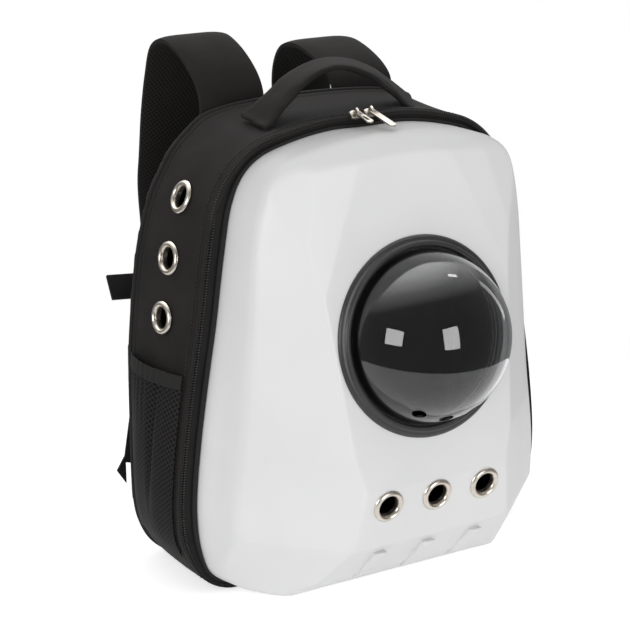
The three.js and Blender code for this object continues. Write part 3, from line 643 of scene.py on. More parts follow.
def wall_radii(angles, depths):
    """How far the shell's side wall stands from the window's middle line, by depth and angle."""
    levels = [0, 6, 22.5, 44, 53, 59, 132]
    mixes, pulls = [0, 0, 0.45, 0.88, 1, 1, 1], [0, 0, 0, 0, 3, 9, 55]
    radii = []
    for depth in depths:
        near = np.clip(depth + np.linspace(-5, 5, 9), 0, 132)
        mix, pull = np.interp(near, levels, mixes).mean(), np.interp(near, levels, pulls).mean()
        ring = RIM_RING * (1 - mix) + SHOULDER_RING * mix
        ring = ring - outward(ring) * pull
        ring[:, 1] = np.maximum(ring[:, 1], 0)
        angle = np.arctan2(ring[:, 1] - DOME_UP, ring[:, 0])
        order = np.argsort(angle)
        radius = np.hypot(ring[:, 0], ring[:, 1] - DOME_UP)
        radii.append(np.interp(angles, angle[order], radius[order], period=math.tau))
    return np.array(radii)


def shell_planes():
    """The shell's flat faces as (side, up, depth, sideways slope, upward slope) in millimetres."""
    half = SHELL_WIDTH / 2
    rows = [(0, DOME_UP, PANEL_DEPTH, 0, -PANEL_LEAN)]
    for side, up, depth, sideways, upward in FACES:
        rows.append(
            (
                side * half,
                up * SHELL_HEIGHT,
                depth * SHELL_DEPTH,
                sideways * SHELL_DEPTH / half,
                upward * SHELL_DEPTH / SHELL_HEIGHT,
            )
        )
    return np.array(rows)


def shell_points(edge_radius, shoulder_radius):
    """Rings of points on the outside of the shell, from the window's hole out to the rim."""
    angles = np.arctan2(RIM_RING[:, 1] - DOME_UP, RIM_RING[:, 0])
    depths = np.arange(0, 133, 1.0)
    radii = wall_radii(angles, depths)
    planes = shell_planes()
    size = np.sqrt(1 + planes[:, 3] ** 2 + planes[:, 4] ** 2)
    normals = np.stack([-planes[:, 3], np.ones(len(planes)), -planes[:, 4]], 1) / size[:, None]
    between = np.arccos(np.clip(normals @ normals.T, -1, 1))
    blend = np.full((len(planes) + 1,) * 2, shoulder_radius / 2.0)
    blend[:-1, :-1] = np.maximum(edge_radius * np.tan(between / 2) * np.sin(between), 0.02)

    def outside(radius, depth, column):
        """How far points stand outside the shell, its edges rounded."""
        angle = angles[column]
        across, up = np.abs(radius * np.cos(angle)), DOME_UP + radius * np.sin(angle)
        gaps = [
            (depth - d - s * (across - x) - u * (up - z)) / w
            for (x, z, d, s, u), w in zip(planes, size)
        ]
        low = np.clip(depth, 0, 131.99)
        step = low.astype(int)
        wall = radii[step, column] * (1 - low + step) + radii[step + 1, column] * (low - step)
        gaps.append((radius - wall) * 0.95)
        gaps = np.array(gaps)
        order = np.argpartition(-gaps, 2, axis=0)[:3]
        top = np.take_along_axis(gaps, order, 0)
        most = top.max(0)
        for a, b in ((0, 1), (0, 2), (1, 2)):
            width = blend[order[a], order[b]]
            over = np.maximum(width - np.abs(top[a] - top[b]), 0)
            most = np.maximum(most, np.maximum(top[a], top[b]) + over**2 / (4 * width))
        return most

    lean = math.atan(PANEL_LEAN)
    hole = DOME_RADIUS + 2 * GAP
    edge = hole / np.sqrt(np.cos(angles) ** 2 + (np.sin(angles) / math.cos(lean)) ** 2)
    edge_depth = PANEL_DEPTH - PANEL_LEAN * edge * np.sin(angles)
    start = np.arctan2(edge_depth, edge)
    shares = 1 - np.linspace(0, 1, 420)
    tilt = shares[:, None] * start[None, :]
    column = np.broadcast_to(np.arange(len(angles)), tilt.shape)
    near, far = np.full(tilt.shape, 40.0), np.full(tilt.shape, 420.0)
    for _ in range(34):
        middle = (near + far) / 2
        inside = outside(middle * np.cos(tilt), middle * np.sin(tilt), column) < 0
        near, far = np.where(inside, middle, near), np.where(inside, far, middle)
    radius, depth = near * np.cos(tilt), near * np.sin(tilt)
    lines = np.stack([radius * np.cos(angles), depth, DOME_UP + radius * np.sin(angles)], -1)
    return np.stack([evenly(lines[:, i], SHELL_ROWS) for i in range(len(angles))], 1)


def chin_rib(middle):
    """A tapered rib on the chin below an eyelet, wide and high at its top."""
    bpy.ops.object.select_all(action="DESELECT")
    bpy.ops.mesh.primitive_cube_add(size=1)
    obj = bpy.context.object
    rows = {
        # Columns: half width, depth of the front, depth of the buried back, height.
        1: (6.4, 109.5, 96, 51),
        -1: (2.6, 68.5, 60, 11.5),
    }
    for vertex in obj.data.vertices:
        half, front, back, up = rows[1 if vertex.co.z > 0 else -1]
        side = half if vertex.co.x > 0 else -half
        depth = front if vertex.co.y < 0 else back
        vertex.co = Vector(millimetres((middle + side, depth, up)))
    edit(obj, lambda: bpy.ops.mesh.normals_make_consistent(inside=False))
    modify(obj, "BEVEL", width=0.0016, segments=4)
    return obj


def window_frame():
    """The middle of the window's hole and the direction that it faces."""
    return (0, PANEL_DEPTH, DOME_UP), facing((0, 1, PANEL_LEAN))


def front_eyelets():
    """The places of the front eyelets on the face below the window, and the way they face."""
    _, up, depth, _, slope = shell_planes()[1]
    depth = depth + slope * (FRONT_EYELET_UP - up)
    out = facing((0, 1, -slope))
    return [((step * FRONT_EYELET_STEP, depth, FRONT_EYELET_UP), out) for step in (-1, 0, 1)]


class CARRIER_OT_shell(bpy.types.Operator):
    """Models the moulded front shell with its rounded facets, ribs and holes"""

    bl_idname = "carrier.shell"
    bl_label = "Moulded Shell"

    def execute(self, context):
        settings = context.scene.carrier
        points = shell_points(settings.edge_radius * 1000, settings.shoulder_radius * 1000)
        shell = laid_grid("front_shell", millimetres(points), wrap=True)
        modify(shell, "SOLIDIFY", thickness=SHELL_WALL / 1000, offset=-1)
        subtract(shell, [chin_rib(step * FRONT_EYELET_STEP) for step in (-1, 0, 1)], "UNION")
        subtract(shell, [rod(EYELET_HOLE + 1.2, -20, 20, place, out) for place, out in front_eyelets()])
        dress(shell, materials()["shell"], ["shell_front"], angle=30)
        return {"FINISHED"}


class CARRIER_OT_window(bpy.types.Operator):
    """Spins the rubber ring and blows the clear bubble with its three vents"""

    bl_idname = "carrier.window"
    bl_label = "Bubble Window"

    def execute(self, context):
        place, out = window_frame()
        inner = DOME_RADIUS + GAP
        outer = inner + RING_WIDTH
        lip = [
            (inner, GAP), (outer - 0.2, GAP), (outer + 0.4, 0.7), (outer + 0.3, 1.7), (outer - 0.5, 2.9),
            (outer - 1.8, 3.9), (outer - 3.2, 4.3), (outer - 4.2, 4.4), (outer - 4.9, 5.0),
            (outer - 5.4, 6.0), (outer - 6.2, RING_HEIGHT), (inner + 3.4, RING_HEIGHT),
            (inner + 2.5, 6.2), (inner + 2.0, 5.4), (inner + 1.7, 4.2), (inner + 1.3, 3.0),
            (inner + 0.2, 2.8), (inner, 2.6),
        ]
        ring = turned("window_ring", lip, 160, place, out)
        modify(ring, "BEVEL", width=0.00035, segments=2, limit_method="ANGLE", angle_limit=math.radians(24))
        dress(ring, materials()["ring"], ["dome_ring"], angle=40)

        bpy.ops.object.select_all(action="DESELECT")
        bpy.ops.mesh.primitive_uv_sphere_add(segments=128, ring_count=64, radius=DOME_RADIUS / 1000)
        dome = bpy.context.object
        dome.name = dome.data.name = "window_bubble"
        edit(
            dome,
            lambda: bpy.ops.mesh.bisect(
                plane_co=(0, 0, -0.0018), plane_no=(0, 0, 1), clear_inner=True, use_fill=False
            ),
        )
        stand_at(dome, place, out)
        modify(dome, "SOLIDIFY", thickness=0.002, offset=-1)
        vents = []
        for step in (-1.25, -0.25, 0.75):
            polar, around = math.radians(65), math.radians(24 * step)
            way = Vector(
                (math.sin(polar) * math.sin(around), -math.sin(polar) * math.cos(around), math.cos(polar))
            )
            way.rotate(Vector((0, 0, 1)).rotation_difference(out))
            vents.append(rod(6.5, DOME_RADIUS - 12, DOME_RADIUS + 12, place, way))
        subtract(dome, vents)
        dress(dome, materials()["window"], ["dome"], angle=40)
        return {"FINISHED"}


def side_eyelets(side):
    """The places of the eyelets on one side of the body, and the way each faces."""
    share = SIDE_EYELET_BACK / GUSSET_DEPTH
    return [
        side_seat(side, share, SIDE_EYELET_UP + step * SIDE_EYELET_STEP, EYELET_RADIUS)
        for step in range(3)
    ]


class CARRIER_OT_eyelets(bpy.types.Operator):
    """Spins one pressed eyelet and copies it to each vent hole"""

    bl_idname = "carrier.eyelets"
    bl_label = "Vent Eyelets"

    def execute(self, context):
        for i, (place, out) in enumerate(front_eyelets()):
            self.press(
                f"front_grommet_{i + 1}", place, out, SHELL_WALL + 1.5, GAP, f"front_eyelet_{i + 1}"
            )
        for name, side in (("left", -1), ("right", 1)):
            for i, (place, out) in enumerate(side_eyelets(side)):
                self.press(
                    f"side_grommet_{name}_{i + 1}", place, facing(out),
                    GUSSET_WALL + 1.5, CLOTH_SEAT, f"side_eyelet_{name}_{i + 1}",
                )
        return {"FINISHED"}

    def press(self, name, place, out, wall, seat, node):
        """One eyelet: a rounded flange that rolls over into its barrel."""
        flange, hole, rise = EYELET_RADIUS, EYELET_HOLE, EYELET_RISE
        profile = [
            (hole, -wall), (hole + 0.9, -wall), (hole + 0.9, seat), (flange - 0.2, seat),
            (flange, seat + 0.3), (flange - 0.2, seat + 0.8), (flange - 1.1, seat + rise * 0.72),
            (flange - 2.3, seat + rise * 0.96), (flange - 3.2, seat + rise),
            (hole + 1.9, seat + rise * 0.92), (hole + 1.0, seat + rise * 0.66), (hole + 0.3, seat + rise * 0.2), (hole, seat - 0.4),
        ]
        eyelet = turned(name, profile, 72, place, out)
        dress(eyelet, materials()["metal"], [node], angle=50)


def repeated(name, template, faces, places, along, out, up):
    """Copies of a small closed shape set along a line, as one piece."""
    template, count = np.asarray(template, float), len(places)
    corners = (
        places[:, None]
        + template[None, :, :1] * along[:, None]
        + template[None, :, 1:2] * out[:, None]
        + template[None, :, 2:3] * up[:, None]
    )
    mesh = bpy.data.meshes.new(name)
    index = [
        [corner + i * len(template) for corner in face] for i in range(count) for face in faces
    ]
    mesh.from_pydata(corners.reshape(-1, 3).tolist(), [], index)
    obj = bpy.data.objects.new(name, mesh)
    bpy.context.scene.collection.objects.link(obj)
    edit(obj, lambda: bpy.ops.mesh.normals_make_consistent(inside=False))
    return obj


def pill(length, width, height, segments=8):
    """A small rounded bar along the first axis, its corners and faces."""
    rows = [(-0.5, 0.35), (-0.38, 0.85), (0, 1), (0.38, 0.85), (0.5, 0.35)]
    corners, faces = [], []
    for along, scale in rows:
        for k in range(segments):
            turn = math.tau * (k + 0.5) / segments
            corners.append(
                (along * length, math.cos(turn) * width / 2 * scale, math.sin(turn) * height / 2 * scale)
            )
    for row in range(len(rows) - 1):
        for k in range(segments):
            a, b = row * segments + k, row * segments + (k + 1) % segments
            faces.append((a, b, b + segments, a + segments))
    faces.append(tuple(range(segments))[::-1])
    faces.append(tuple((len(rows) - 1) * segments + k for k in range(segments)))
    return corners, faces


def along_line(line, pitch, closed=False):
    """Evenly spaced places on a line, and the direction of the line at each."""
    line = np.vstack([line, line[:1]]) if closed else line
    length = np.linalg.norm(np.diff(line, axis=0), axis=1).sum()
    count = max(2, int(round(length / pitch)))
    places = evenly(line, count * 2 + 1)
    ahead = places[2::2] - places[:-2:2]
    return places[1::2], ahead / np.linalg.norm(ahead, axis=1)[:, None]


def unit(rows):
    """Rows of directions, each of length 1."""
    return rows / np.linalg.norm(rows, axis=1)[:, None]


def rim_band(name, section):
    """A closed band round the rim of the shell, from its section of (offset, depth)."""
    rings = [beside_rim(offset, depth) for offset, depth in section]
    return laid_grid(name, millimetres(rings), wrap=True, ends=True)


def resampled(rows, count):
    """The same rows of values, drawn out or in to a count of rows."""
    share, wanted = np.linspace(0, 1, len(rows)), np.linspace(0, 1, count)
    return np.stack([np.interp(wanted, share, rows[:, k]) for k in range(3)], 1)


class CARRIER_OT_zipper(bpy.types.Operator):
    """Sews the shell's binding, the tape and the coil, and hangs the pulls in their sliders"""

    bl_idname = "carrier.zipper"
    bl_label = "Zipper"

    def execute(self, context):
        settings = context.scene.carrier
        made = materials()
        section = [
            (GAP, -0.0), (GAP, 4.2), (0.9, BINDING_DEPTH), (2.2, BINDING_DEPTH + 0.2),
            (3.5, BINDING_DEPTH - 0.4), (BINDING_WIDTH, 3.2), (BINDING_WIDTH, 1.4),
            (BINDING_WIDTH - 0.6, 0),
        ]
        binding = rim_band("shell_edge_binding", section)
        dress(binding, made["binding"], ["shell_binding"])

        # The band's folded lip covers the coil over the top and draws back down the sides.
        cover = smoothstep(RIM_RING[:, 1], SHELL_HEIGHT * 0.78, SHELL_HEIGHT * 0.9)
        edge = ZIP_WIDTH - 1 - COIL_WIDTH * cover
        section = [
            (ZIP_WIDTH + 0.3, -1.5), (ZIP_WIDTH + 0.6, 0.9), (edge + 1.6, 2.6), (edge + 0.6, 3.0),
            (edge, 2.6), (edge + 0.2, 2.1), (ZIP_WIDTH - 1, 0.7), (ZIP_WIDTH - 1, -1.5),
        ]
        lip = rim_band("zipper_lip", section)
        dress(lip, made["cloth"], angle=60)

        inner = ZIP_WIDTH - COIL_WIDTH
        section = [
            (GAP, -GAP), (2.5, -GAP), (inner - 0.6, -GAP), (inner, -GAP), (ZIP_WIDTH, -GAP),
            (ZIP_WIDTH, -GAP - TAPE_THICK), (GAP, -GAP - TAPE_THICK),
        ]
        tape = rim_band("zipper_tape", section)
        dress(tape, made["tape"], ["zip_tape"])

        middle = inner + COIL_WIDTH / 2
        centre = millimetres(beside_rim(middle, 1.05))
        sides = millimetres(beside_rim(middle + 1, 1.05)) - centre
        places, along = along_line(centre, settings.tooth_pitch, closed=True)
        across = unit(resampled(sides, len(places)))
        forward = unit(np.cross(along, across))
        across = unit(np.cross(forward, along))
        squeezed = zip_share(places[:, 2] * 1000)
        corners, faces = pill(1.0, 1.0, 1.0)
        rows = []
        for offset in (-1.55, 1.55):
            shaped = np.array(corners) * (0.0029, settings.tooth_pitch * 0.68, 0.0021)
            rows.append(
                repeated(
                    "coil", shaped, faces, places + across * (offset * squeezed / 1000)[:, None],
                    across * squeezed[:, None], along, forward,
                )
            )
        only(rows[0])
        rows[1].select_set(True)
        bpy.ops.object.join()
        rows[0].name = rows[0].data.name = "zipper_coil"
        dress(rows[0], made["coil"], ["zip_coil"], angle=60)

        for i in (1, 2):
            slider = copied_node(f"zip_slider_{i}", f"slider_body_{i}", 0.35)
            dress(slider, made["metal"], [f"zip_slider_{i}"])
            pull = copied_node(f"zip_pull_{i}", f"slider_pull_{i}", 0.4)
            dress(pull, made["metal"], [f"zip_pull_{i}"], body=f"pull_{i}")
        return {"FINISHED"}


class CARRIER_OT_body(bpy.types.Operator):
    """Stretches the cloth band round the cabin and sews its rear seam"""

    bl_idname = "carrier.body"
    bl_label = "Cloth Body"

    def execute(self, context):
        made = materials()
        front = 2 * GAP + TAPE_THICK
        inner = ZIP_WIDTH - COIL_WIDTH
        shares = np.concatenate(
            [[0.03, 0.045, 0.06], np.linspace(0.08, 0.9, 34), [0.915, 0.93, 0.945, 0.96, 0.98, 1]]
        )
        rings = [
            beside_rim(inner, -front - GUSSET_WALL),
            beside_rim(inner, -front),
            beside_rim(ZIP_WIDTH - 0.8, -front),
        ]
        for share in shares:
            # A shallow channel is sewn in beside the rear seam, and a fainter one beside the zipper.
            seam = math.exp(-(((share - 0.93) / 0.008) ** 2))
            seam += 0.6 * math.exp(-(((share - 0.06) / 0.01) ** 2))
            rings.append(body_ring(share, -0.9 * seam))
        for share in np.linspace(1, 0.05, 14):
            rings.append(body_ring(share, -GUSSET_WALL))
        rings.append(beside_rim(ZIP_WIDTH - GUSSET_WALL - 0.5, -front - GUSSET_WALL))
        points = np.array(rings)
        points[3 : 3 + len(shares)] = self.creased(points[3 : 3 + len(shares)], shares)
        gusset = laid_grid("cabin_band", millimetres(points), wrap=True, ends=True)
        seats = side_eyelets(-1) + side_eyelets(1)
        subtract(gusset, [rod(EYELET_HOLE + 1.2, -20, 20, place, facing(out)) for place, out in seats])
        dress(gusset, made["cloth"], ["gusset_left", "gusset_right"])

        seam = GUSSET_DEPTH + GAP
        turn = np.linspace(-math.pi / 2, math.pi / 2, 9)
        section = [(0.1 + 1.9 * math.cos(t), seam + PIPING / 2 + PIPING / 2 * math.sin(t)) for t in turn]
        # The seam allowance inside closes the slit between the band and the pad.
        section = [(-10, seam - 0.6), *section, (-10, seam + PIPING + 1.4)]
        piping = laid_grid(
            "rear_piping_cord", millimetres([rear_at(o, d) for o, d in section]), wrap=True, ends=True
        )
        dress(piping, made["binding"], ["rear_piping"], angle=60)
        return {"FINISHED"}

    def creased(self, points, shares):
        """Lets the cloth sink a little between its seams and crease softly down the sides."""
        high, side = points[..., 2], np.abs(points[..., 0])
        share = np.asarray(shares)[:, None]
        mid = np.sin(math.pi * np.clip(share, 0, 1)) ** 2
        wave = (
            np.sin(high * 0.055 + share * 5.0 + np.sign(points[..., 0]) * 0.8)
            + 0.6 * np.sin(high * 0.021 - share * 8.0)
            + 0.4 * np.sin(points[..., 0] * 0.06 + share * 4)
        )
        depth = 0.45 * mid * wave * smoothstep(side, 60, 150)
        creased = points.copy()
        creased[..., 0] -= np.sign(points[..., 0]) * np.maximum(depth + 0.3 * mid, -0.25)
        return creased


def settled(obj, pressure, cap, voxel, frames=20):
    """Fills a pad by cloth simulation, each point held within a cap of where it began."""
    modify(obj, "REMESH", mode="VOXEL", voxel_size=voxel / 1000)
    start = np.zeros(len(obj.data.vertices) * 3, np.float32)
    obj.data.vertices.foreach_get("co", start)
    only(obj)
    cloth = obj.modifiers.new("Cloth", "CLOTH")
    cloth.settings.quality = 5
    cloth.settings.mass = 0.3
    cloth.settings.tension_stiffness = cloth.settings.compression_stiffness = 15
    cloth.settings.bending_stiffness = 0.5
    cloth.settings.use_pressure = True
    cloth.settings.uniform_pressure_force = pressure
    cloth.settings.effector_weights.gravity = 0
    cloth.collision_settings.use_collision = False
    cloth.point_cache.frame_start, cloth.point_cache.frame_end = 1, frames
    for step in range(1, frames + 1):
        bpy.context.scene.frame_set(step)
    bpy.ops.object.modifier_apply(modifier=cloth.name)
    bpy.context.scene.frame_set(1)
    end = np.zeros_like(start)
    obj.data.vertices.foreach_get("co", end)
    move = (end - start).reshape(-1, 3)
    length = np.linalg.norm(move, axis=1)
    move *= (cap / 1000 * np.tanh(length / (cap / 1000)) / np.maximum(length, 1e-9))[:, None]
    obj.data.vertices.foreach_set("co", start + move.reshape(-1))
    modify(obj, "SMOOTH", factor=0.5, iterations=4)
    modify(obj, "SUBSURF", levels=1, render_levels=1)
    return obj


class CARRIER_OT_back(bpy.types.Operator):
    """Pads the panel that lies against the wearer's back"""

    bl_idname = "carrier.back"
    bl_label = "Padded Back"

    def execute(self, context):
        front = GUSSET_DEPTH + 2 * GAP + PIPING
        shares = [1, 0.97, 0.9, 0.75, 0.5, 0.25, 0.02]
        middle = np.array([0, BODY_HEIGHT / 2])
        rings = []

        def ring(share, offset, depth):
            flat = rear_at(offset, depth)[:, [0, 2]]
            return with_depth(middle + (flat - middle) * share, -depth, 0.6)

        for share in shares[::-1]:
            rings.append(ring(share, -3, front + 0.6))
        rings.append(ring(1, 0.4, front + 2.5))
        rings.append(ring(1, 0.6, front + PAD_THICK * 0.55))
        for share in shares:
            rings.append(ring(share, -3, front + PAD_THICK - 2.6))
        pad = capped_strip("back_pad", rings)
        settled(pad, 3.0, 2.2, 5)
        self.quilted(pad)
        dress(pad, materials()["padded"], ["back_panel"], angle=60)
        return {"FINISHED"}

    def quilted(self, pad):
        """Sinks the sewn channels that part the pad into cushions."""
        count = len(pad.data.vertices)
        places = np.zeros(count * 3, np.float32)
        pad.data.vertices.foreach_get("co", places)
        places = places.reshape(-1, 3)
        back = smoothstep(places[:, 1], places[:, 1].max() - 0.008, places[:, 1].max() - 0.004)
        across, up = places[:, 0] * 1000, places[:, 2] * 1000
        lines = [np.abs(across), np.abs(np.abs(across) - 112), np.abs(up - 330), np.abs(up - 95)]
        sink = sum(np.exp(-((line / 5.0) ** 2)) for line in lines)
        places[:, 1] -= back * 0.0032 * np.minimum(sink, 1)
        pad.data.vertices.foreach_set("co", places.reshape(-1))


def stops_along(points, count, sideways):
    """Places along a smooth line with a sideways and a thickness direction at each."""
    places = smooth_line(points, count)
    along = unit(np.gradient(places, axis=0))
    sideways = np.asarray(sideways, float)
    across = unit(sideways - along * (along @ sideways)[:, None])
    up = unit(np.cross(across, along))
    return places, across, up


def strip_rows(stops, widths, section):
    """Rows of points for a strip whose section is (share of half the width, height)."""
    places, across, up = stops
    rows = []
    for place, side, rise, half in zip(places, across, up, np.asarray(widths) / 2):
        rows.append([place + side * half * a + rise * b for a, b in section])
    return np.array(rows)


def padded_section(thick, edge, corners=7):
    """A closed section that swells from its sewn edges to its full thickness."""
    shares = np.sin(np.linspace(-math.pi / 2, math.pi / 2, 2 * corners + 1))
    height = edge / 2 + (thick - edge) / 2 * (1 - np.abs(shares) ** 5)
    top = [(a, b) for a, b in zip(shares, height)]
    bottom = [(a, -b) for a, b in zip(shares[::-1], height[::-1])]
    return top + bottom


def capped_strip(name, rows):
    """A strip of closed rows of points, filled at both ends."""
    strip = laid_grid(name, millimetres(rows), wrap=True)
    edit(
        strip,
        lambda: bpy.ops.mesh.fill_holes(sides=0),
        lambda: bpy.ops.mesh.normals_make_consistent(inside=False),
    )
    return strip


# Half of the handle's line. Columns: a share of half its span, and a share of its rise.
HANDLE_LINE = [
    (-1, 0), (-0.93, 0.01), (-0.87, 0.085), (-0.76, 0.25), (-0.63, 0.44), (-0.54, 0.6),
    (-0.4, 0.77), (-0.22, 0.93), (0, 1),
]

# Outward and back as shares of the reach, rise over the root as a share of the strap's rise.
STRAP_LINE = [
    (0, -0.02, -0.3), (0, 0, 0.1), (0, 0.12, 0.42), (0, 0.48, 0.84), (0, 0.84, 1), (0, 1.1, 0.8),
    (0, 1.25, 0.2), (0.03, 1.31, -0.6), (0.14, 1.2, -1.8), (0.34, 0.92, -2.7), (0.56, 0.6, -3.4),
]


def handle_points():
    """The middle line of the handle, its feet on the cloth."""
    half = HANDLE_WIDTH / 2 / GUSSET_DEPTH
    share = HANDLE_BACK / GUSSET_DEPTH + half
    points = []
    for across, rise in HANDLE_LINE + [(-a, r) for a, r in HANDLE_LINE[-2::-1]]:
        x = across * HANDLE_SPAN / 2
        seat = max(body_top(at, x) for at in (share - half, share, share + half))
        foot = seat + CLOTH_SEAT + HANDLE_THICK / 2
        top = body_top(share, 0) + HANDLE_RISE + HANDLE_THICK / 2
        points.append((x, -GUSSET_DEPTH * share, foot + (top - foot) * rise))
    return np.array(points)


def strap_points(side, rise):
    """The middle line of a shoulder strap, from its root to its lower end."""
    root = GUSSET_DEPTH + 2 * GAP + PIPING + PAD_THICK / 2
    points = []
    for outwards, back, up in STRAP_LINE:
        scale = rise if up > 0 else STRAP_RISES["left"]
        across = side * (STRAP_APART / 2 + outwards * STRAP_REACH)
        points.append((across, -(root + back * STRAP_REACH), BODY_HEIGHT + up * scale))
    return np.array(points)


def webbing_points(side):
    """The middle line of the webbing, from the end of its strap to the corner tab."""
    line = strap_points(side, STRAP_RISES["left"])
    end = line[-1]
    onward = (end - line[-2]) / np.linalg.norm(end - line[-2])
    front = GUSSET_DEPTH + 2 * GAP + PIPING
    depth = -(front + PAD_THICK + WEBBING_THICK + CLOTH_SEAT)
    foot = np.array([side * (BODY_WIDTH / 2 - WEBBING_WIDTH / 2), depth, TAB_UP])
    start = end + onward * (CLOTH_SEAT + GAP)
    half = start + onward * ADJUSTER_LENGTH * 0.7
    straight = start + onward * ADJUSTER_LENGTH * 1.4
    middle = (straight + foot) / 2
    middle[1] -= WEBBING_SAG
    return np.array([start, half, straight, middle, foot])


class CARRIER_OT_handle(bpy.types.Operator):
    """Fills the padded carrying handle and sews its ends flat"""

    bl_idname = "carrier.handle"
    bl_label = "Handle"

    def execute(self, context):
        stops = stops_along(handle_points(), 64, (0, 1, 0))
        share = np.linspace(0, 1, 64)
        ends = 1 - smoothstep(share, 0.02, 0.16) * smoothstep(1 - share, 0.02, 0.16)
        rows = []
        for place, side, rise, flat in zip(*stops, ends):
            thick = (HANDLE_THICK - 1) * (1 - 0.35 * flat)
            lift = -(HANDLE_THICK - 1 - thick) / 2 * np.sign(rise[2])
            half = HANDLE_WIDTH / 2 - 0.8
            # The feet lie on the cloth, which rises to the rear.
            side = unit(side[None] - np.array([[0, 0, 0.11 * flat]]))[0]
            # The front edge has slipped towards the left foot.
            slip = np.array([-13 * smoothstep(place[0], -90, 50), 0, 0])
            rows.append(
                [
                    place + side * half * a + rise * (b + lift) + slip * (1 + a)
                    for a, b in padded_section(thick, 4.4)
                ]
            )
        handle = capped_strip("padded_handle", rows)
        settled(handle, 2.5, 1.4, 2.2)
        dress(handle, materials()["padded"], ["handle"], angle=60)
        return {"FINISHED"}


class CARRIER_OT_straps(bpy.types.Operator):
    """Pads the shoulder straps and threads their webbing through the adjusters"""

    bl_idname = "carrier.straps"
    bl_label = "Shoulder Straps"

    def execute(self, context):
        made = materials()
        for name, side in (("left", -1), ("right", 1)):
            stops = stops_along(strap_points(side, STRAP_RISES[name]), 110, (side, 0, 0))
            share = np.linspace(0, 1, 110)
            widths = STRAP_WIDTH + (STRAP_END_WIDTH - STRAP_WIDTH) * smoothstep(share, 0.72, 1)
            rows = strip_rows(stops, widths - 0.6, padded_section(STRAP_THICK - 0.3, 3.4))
            strap = capped_strip(f"shoulder_strap_{name}", rows)
            dress(strap, made["padded"], [f"strap_{name}"], angle=60)
            strap.data.materials.append(made["spacer"])
            self.line_under(strap, stops)

            places, across, up = stops_along(webbing_points(side), 60, (1, 0, 0))
            span, lift = np.linspace(-1, 1, 7), WEBBING_THICK / 2
            flat = [(a, lift) for a in span] + [(a, -lift) for a in span[::-1]]
            rows = strip_rows((places, across, up), [WEBBING_WIDTH] * 60, flat)
            band = capped_strip(f"webbing_band_{name}", rows)
            dress(band, made["webbing"], [f"webbing_{name}"])

            # Columns: CAD piece, name of its copy, rounding in millimetres, finish and slot.
            for node, copy, bevel, finish, slot in (
                (f"webbing_tail_{name}", f"webbing_end_{name}", 0.5, "webbing", "webbing_black"),
                (f"adjuster_{name}", f"ladder_adjuster_{name}", 0.9, "buckle", "coil_black"),
                (f"lower_tab_{name}", f"corner_tab_{name}", 0.4, "webbing", "webbing_black"),
            ):
                dress(copied_node(node, copy, bevel), made[finish], [node])
        return {"FINISHED"}

    def line_under(self, strap, stops):
        """Gives the side of a strap that lies on the shoulder its spacer mesh."""
        places, _, up = stops
        places = millimetres(places)
        up = up * (1, -1, 1)
        for face in strap.data.polygons:
            nearest = int(np.argmin(((places - np.array(face.center)) ** 2).sum(1)))
            if np.dot(np.array(face.normal), up[nearest]) * self.outer(up, places) < -0.35:
                face.material_index = 1

    def outer(self, up, places):
        """1 where the thickness direction points away from the shoulder at the strap's top."""
        top = int(np.argmax(places[:, 2]))
        return 1 if up[top][2] > 0 else -1


def pocket_points(side, low, high, rows, lift, folds, columns=60):
    """Rows of points over the side of the body, swollen between the pocket's sewn edges."""
    grid = []
    for row in range(rows + 1):
        up = low + (high - low) * row / rows
        rise = (up - POCKET_FOOT) / (POCKET_UP - POCKET_FOOT)
        line = []
        for column in range(columns + 1):
            along = column / columns
            place, out = side_seat(side, 0.07 + 0.86 * along, up, 6)
            swell = math.sin(math.pi * along) ** 0.6 * math.sin(math.pi / 2 * np.clip(rise, 0, 1)) ** 0.7
            height = CLOTH_SEAT + GAP + POCKET_BULGE * swell
            height -= folds(along, rise) * swell
            line.append(place + out * (max(height, CLOTH_SEAT + 0.4) + lift))
        grid.append(line)
    return np.array(grid)


def pocket_folds(along, rise):
    """How far the slack mesh folds in, from the gathers under its binding to one deep fold."""
    gathers = 0.7 * math.sin(along * 62) * smoothstep(rise, 0.55, 1)
    line = 0.34 + 0.13 * (1 - rise)
    deep = 5.2 * math.exp(-(((along - line) / 0.05) ** 2)) * smoothstep(rise, 0.1, 0.5)
    slack = 1.6 * math.sin(along * 11 + rise * 5) * (1 - rise)
    return float(deep + gathers + slack)


class CARRIER_OT_pockets(bpy.types.Operator):
    """Gathers the mesh pockets under their elastic bindings"""

    bl_idname = "carrier.pockets"
    bl_label = "Side Pockets"

    def execute(self, context):
        made = materials()
        top = POCKET_UP - POCKET_BINDING
        for name, side in (("left", -1), ("right", 1)):
            points = pocket_points(side, POCKET_FOOT, top, 56, POCKET_WALL / 2, pocket_folds)
            pocket = laid_grid(f"mesh_pocket_{name}", millimetres(points), inside_out=side > 0)
            modify(pocket, "SOLIDIFY", thickness=0.0009, offset=0)
            dress(pocket, made["mesh"], [f"pocket_{name}"], angle=60)

            def gathered(along, rise):
                return 0.45 * math.sin(along * 62)

            outer = pocket_points(side, top + GAP, POCKET_UP, 8, POCKET_WALL / 2 + 0.6, gathered)
            binding = laid_grid(f"elastic_binding_{name}", millimetres(outer), inside_out=side > 0)
            modify(binding, "SOLIDIFY", thickness=0.0018, offset=0)
            modify(
                binding, "BEVEL", width=0.0006, segments=2, limit_method="ANGLE",
                angle_limit=math.radians(50),
            )
            dress(binding, made["binding"], [f"pocket_binding_{name}"], angle=60)
        return {"FINISHED"}


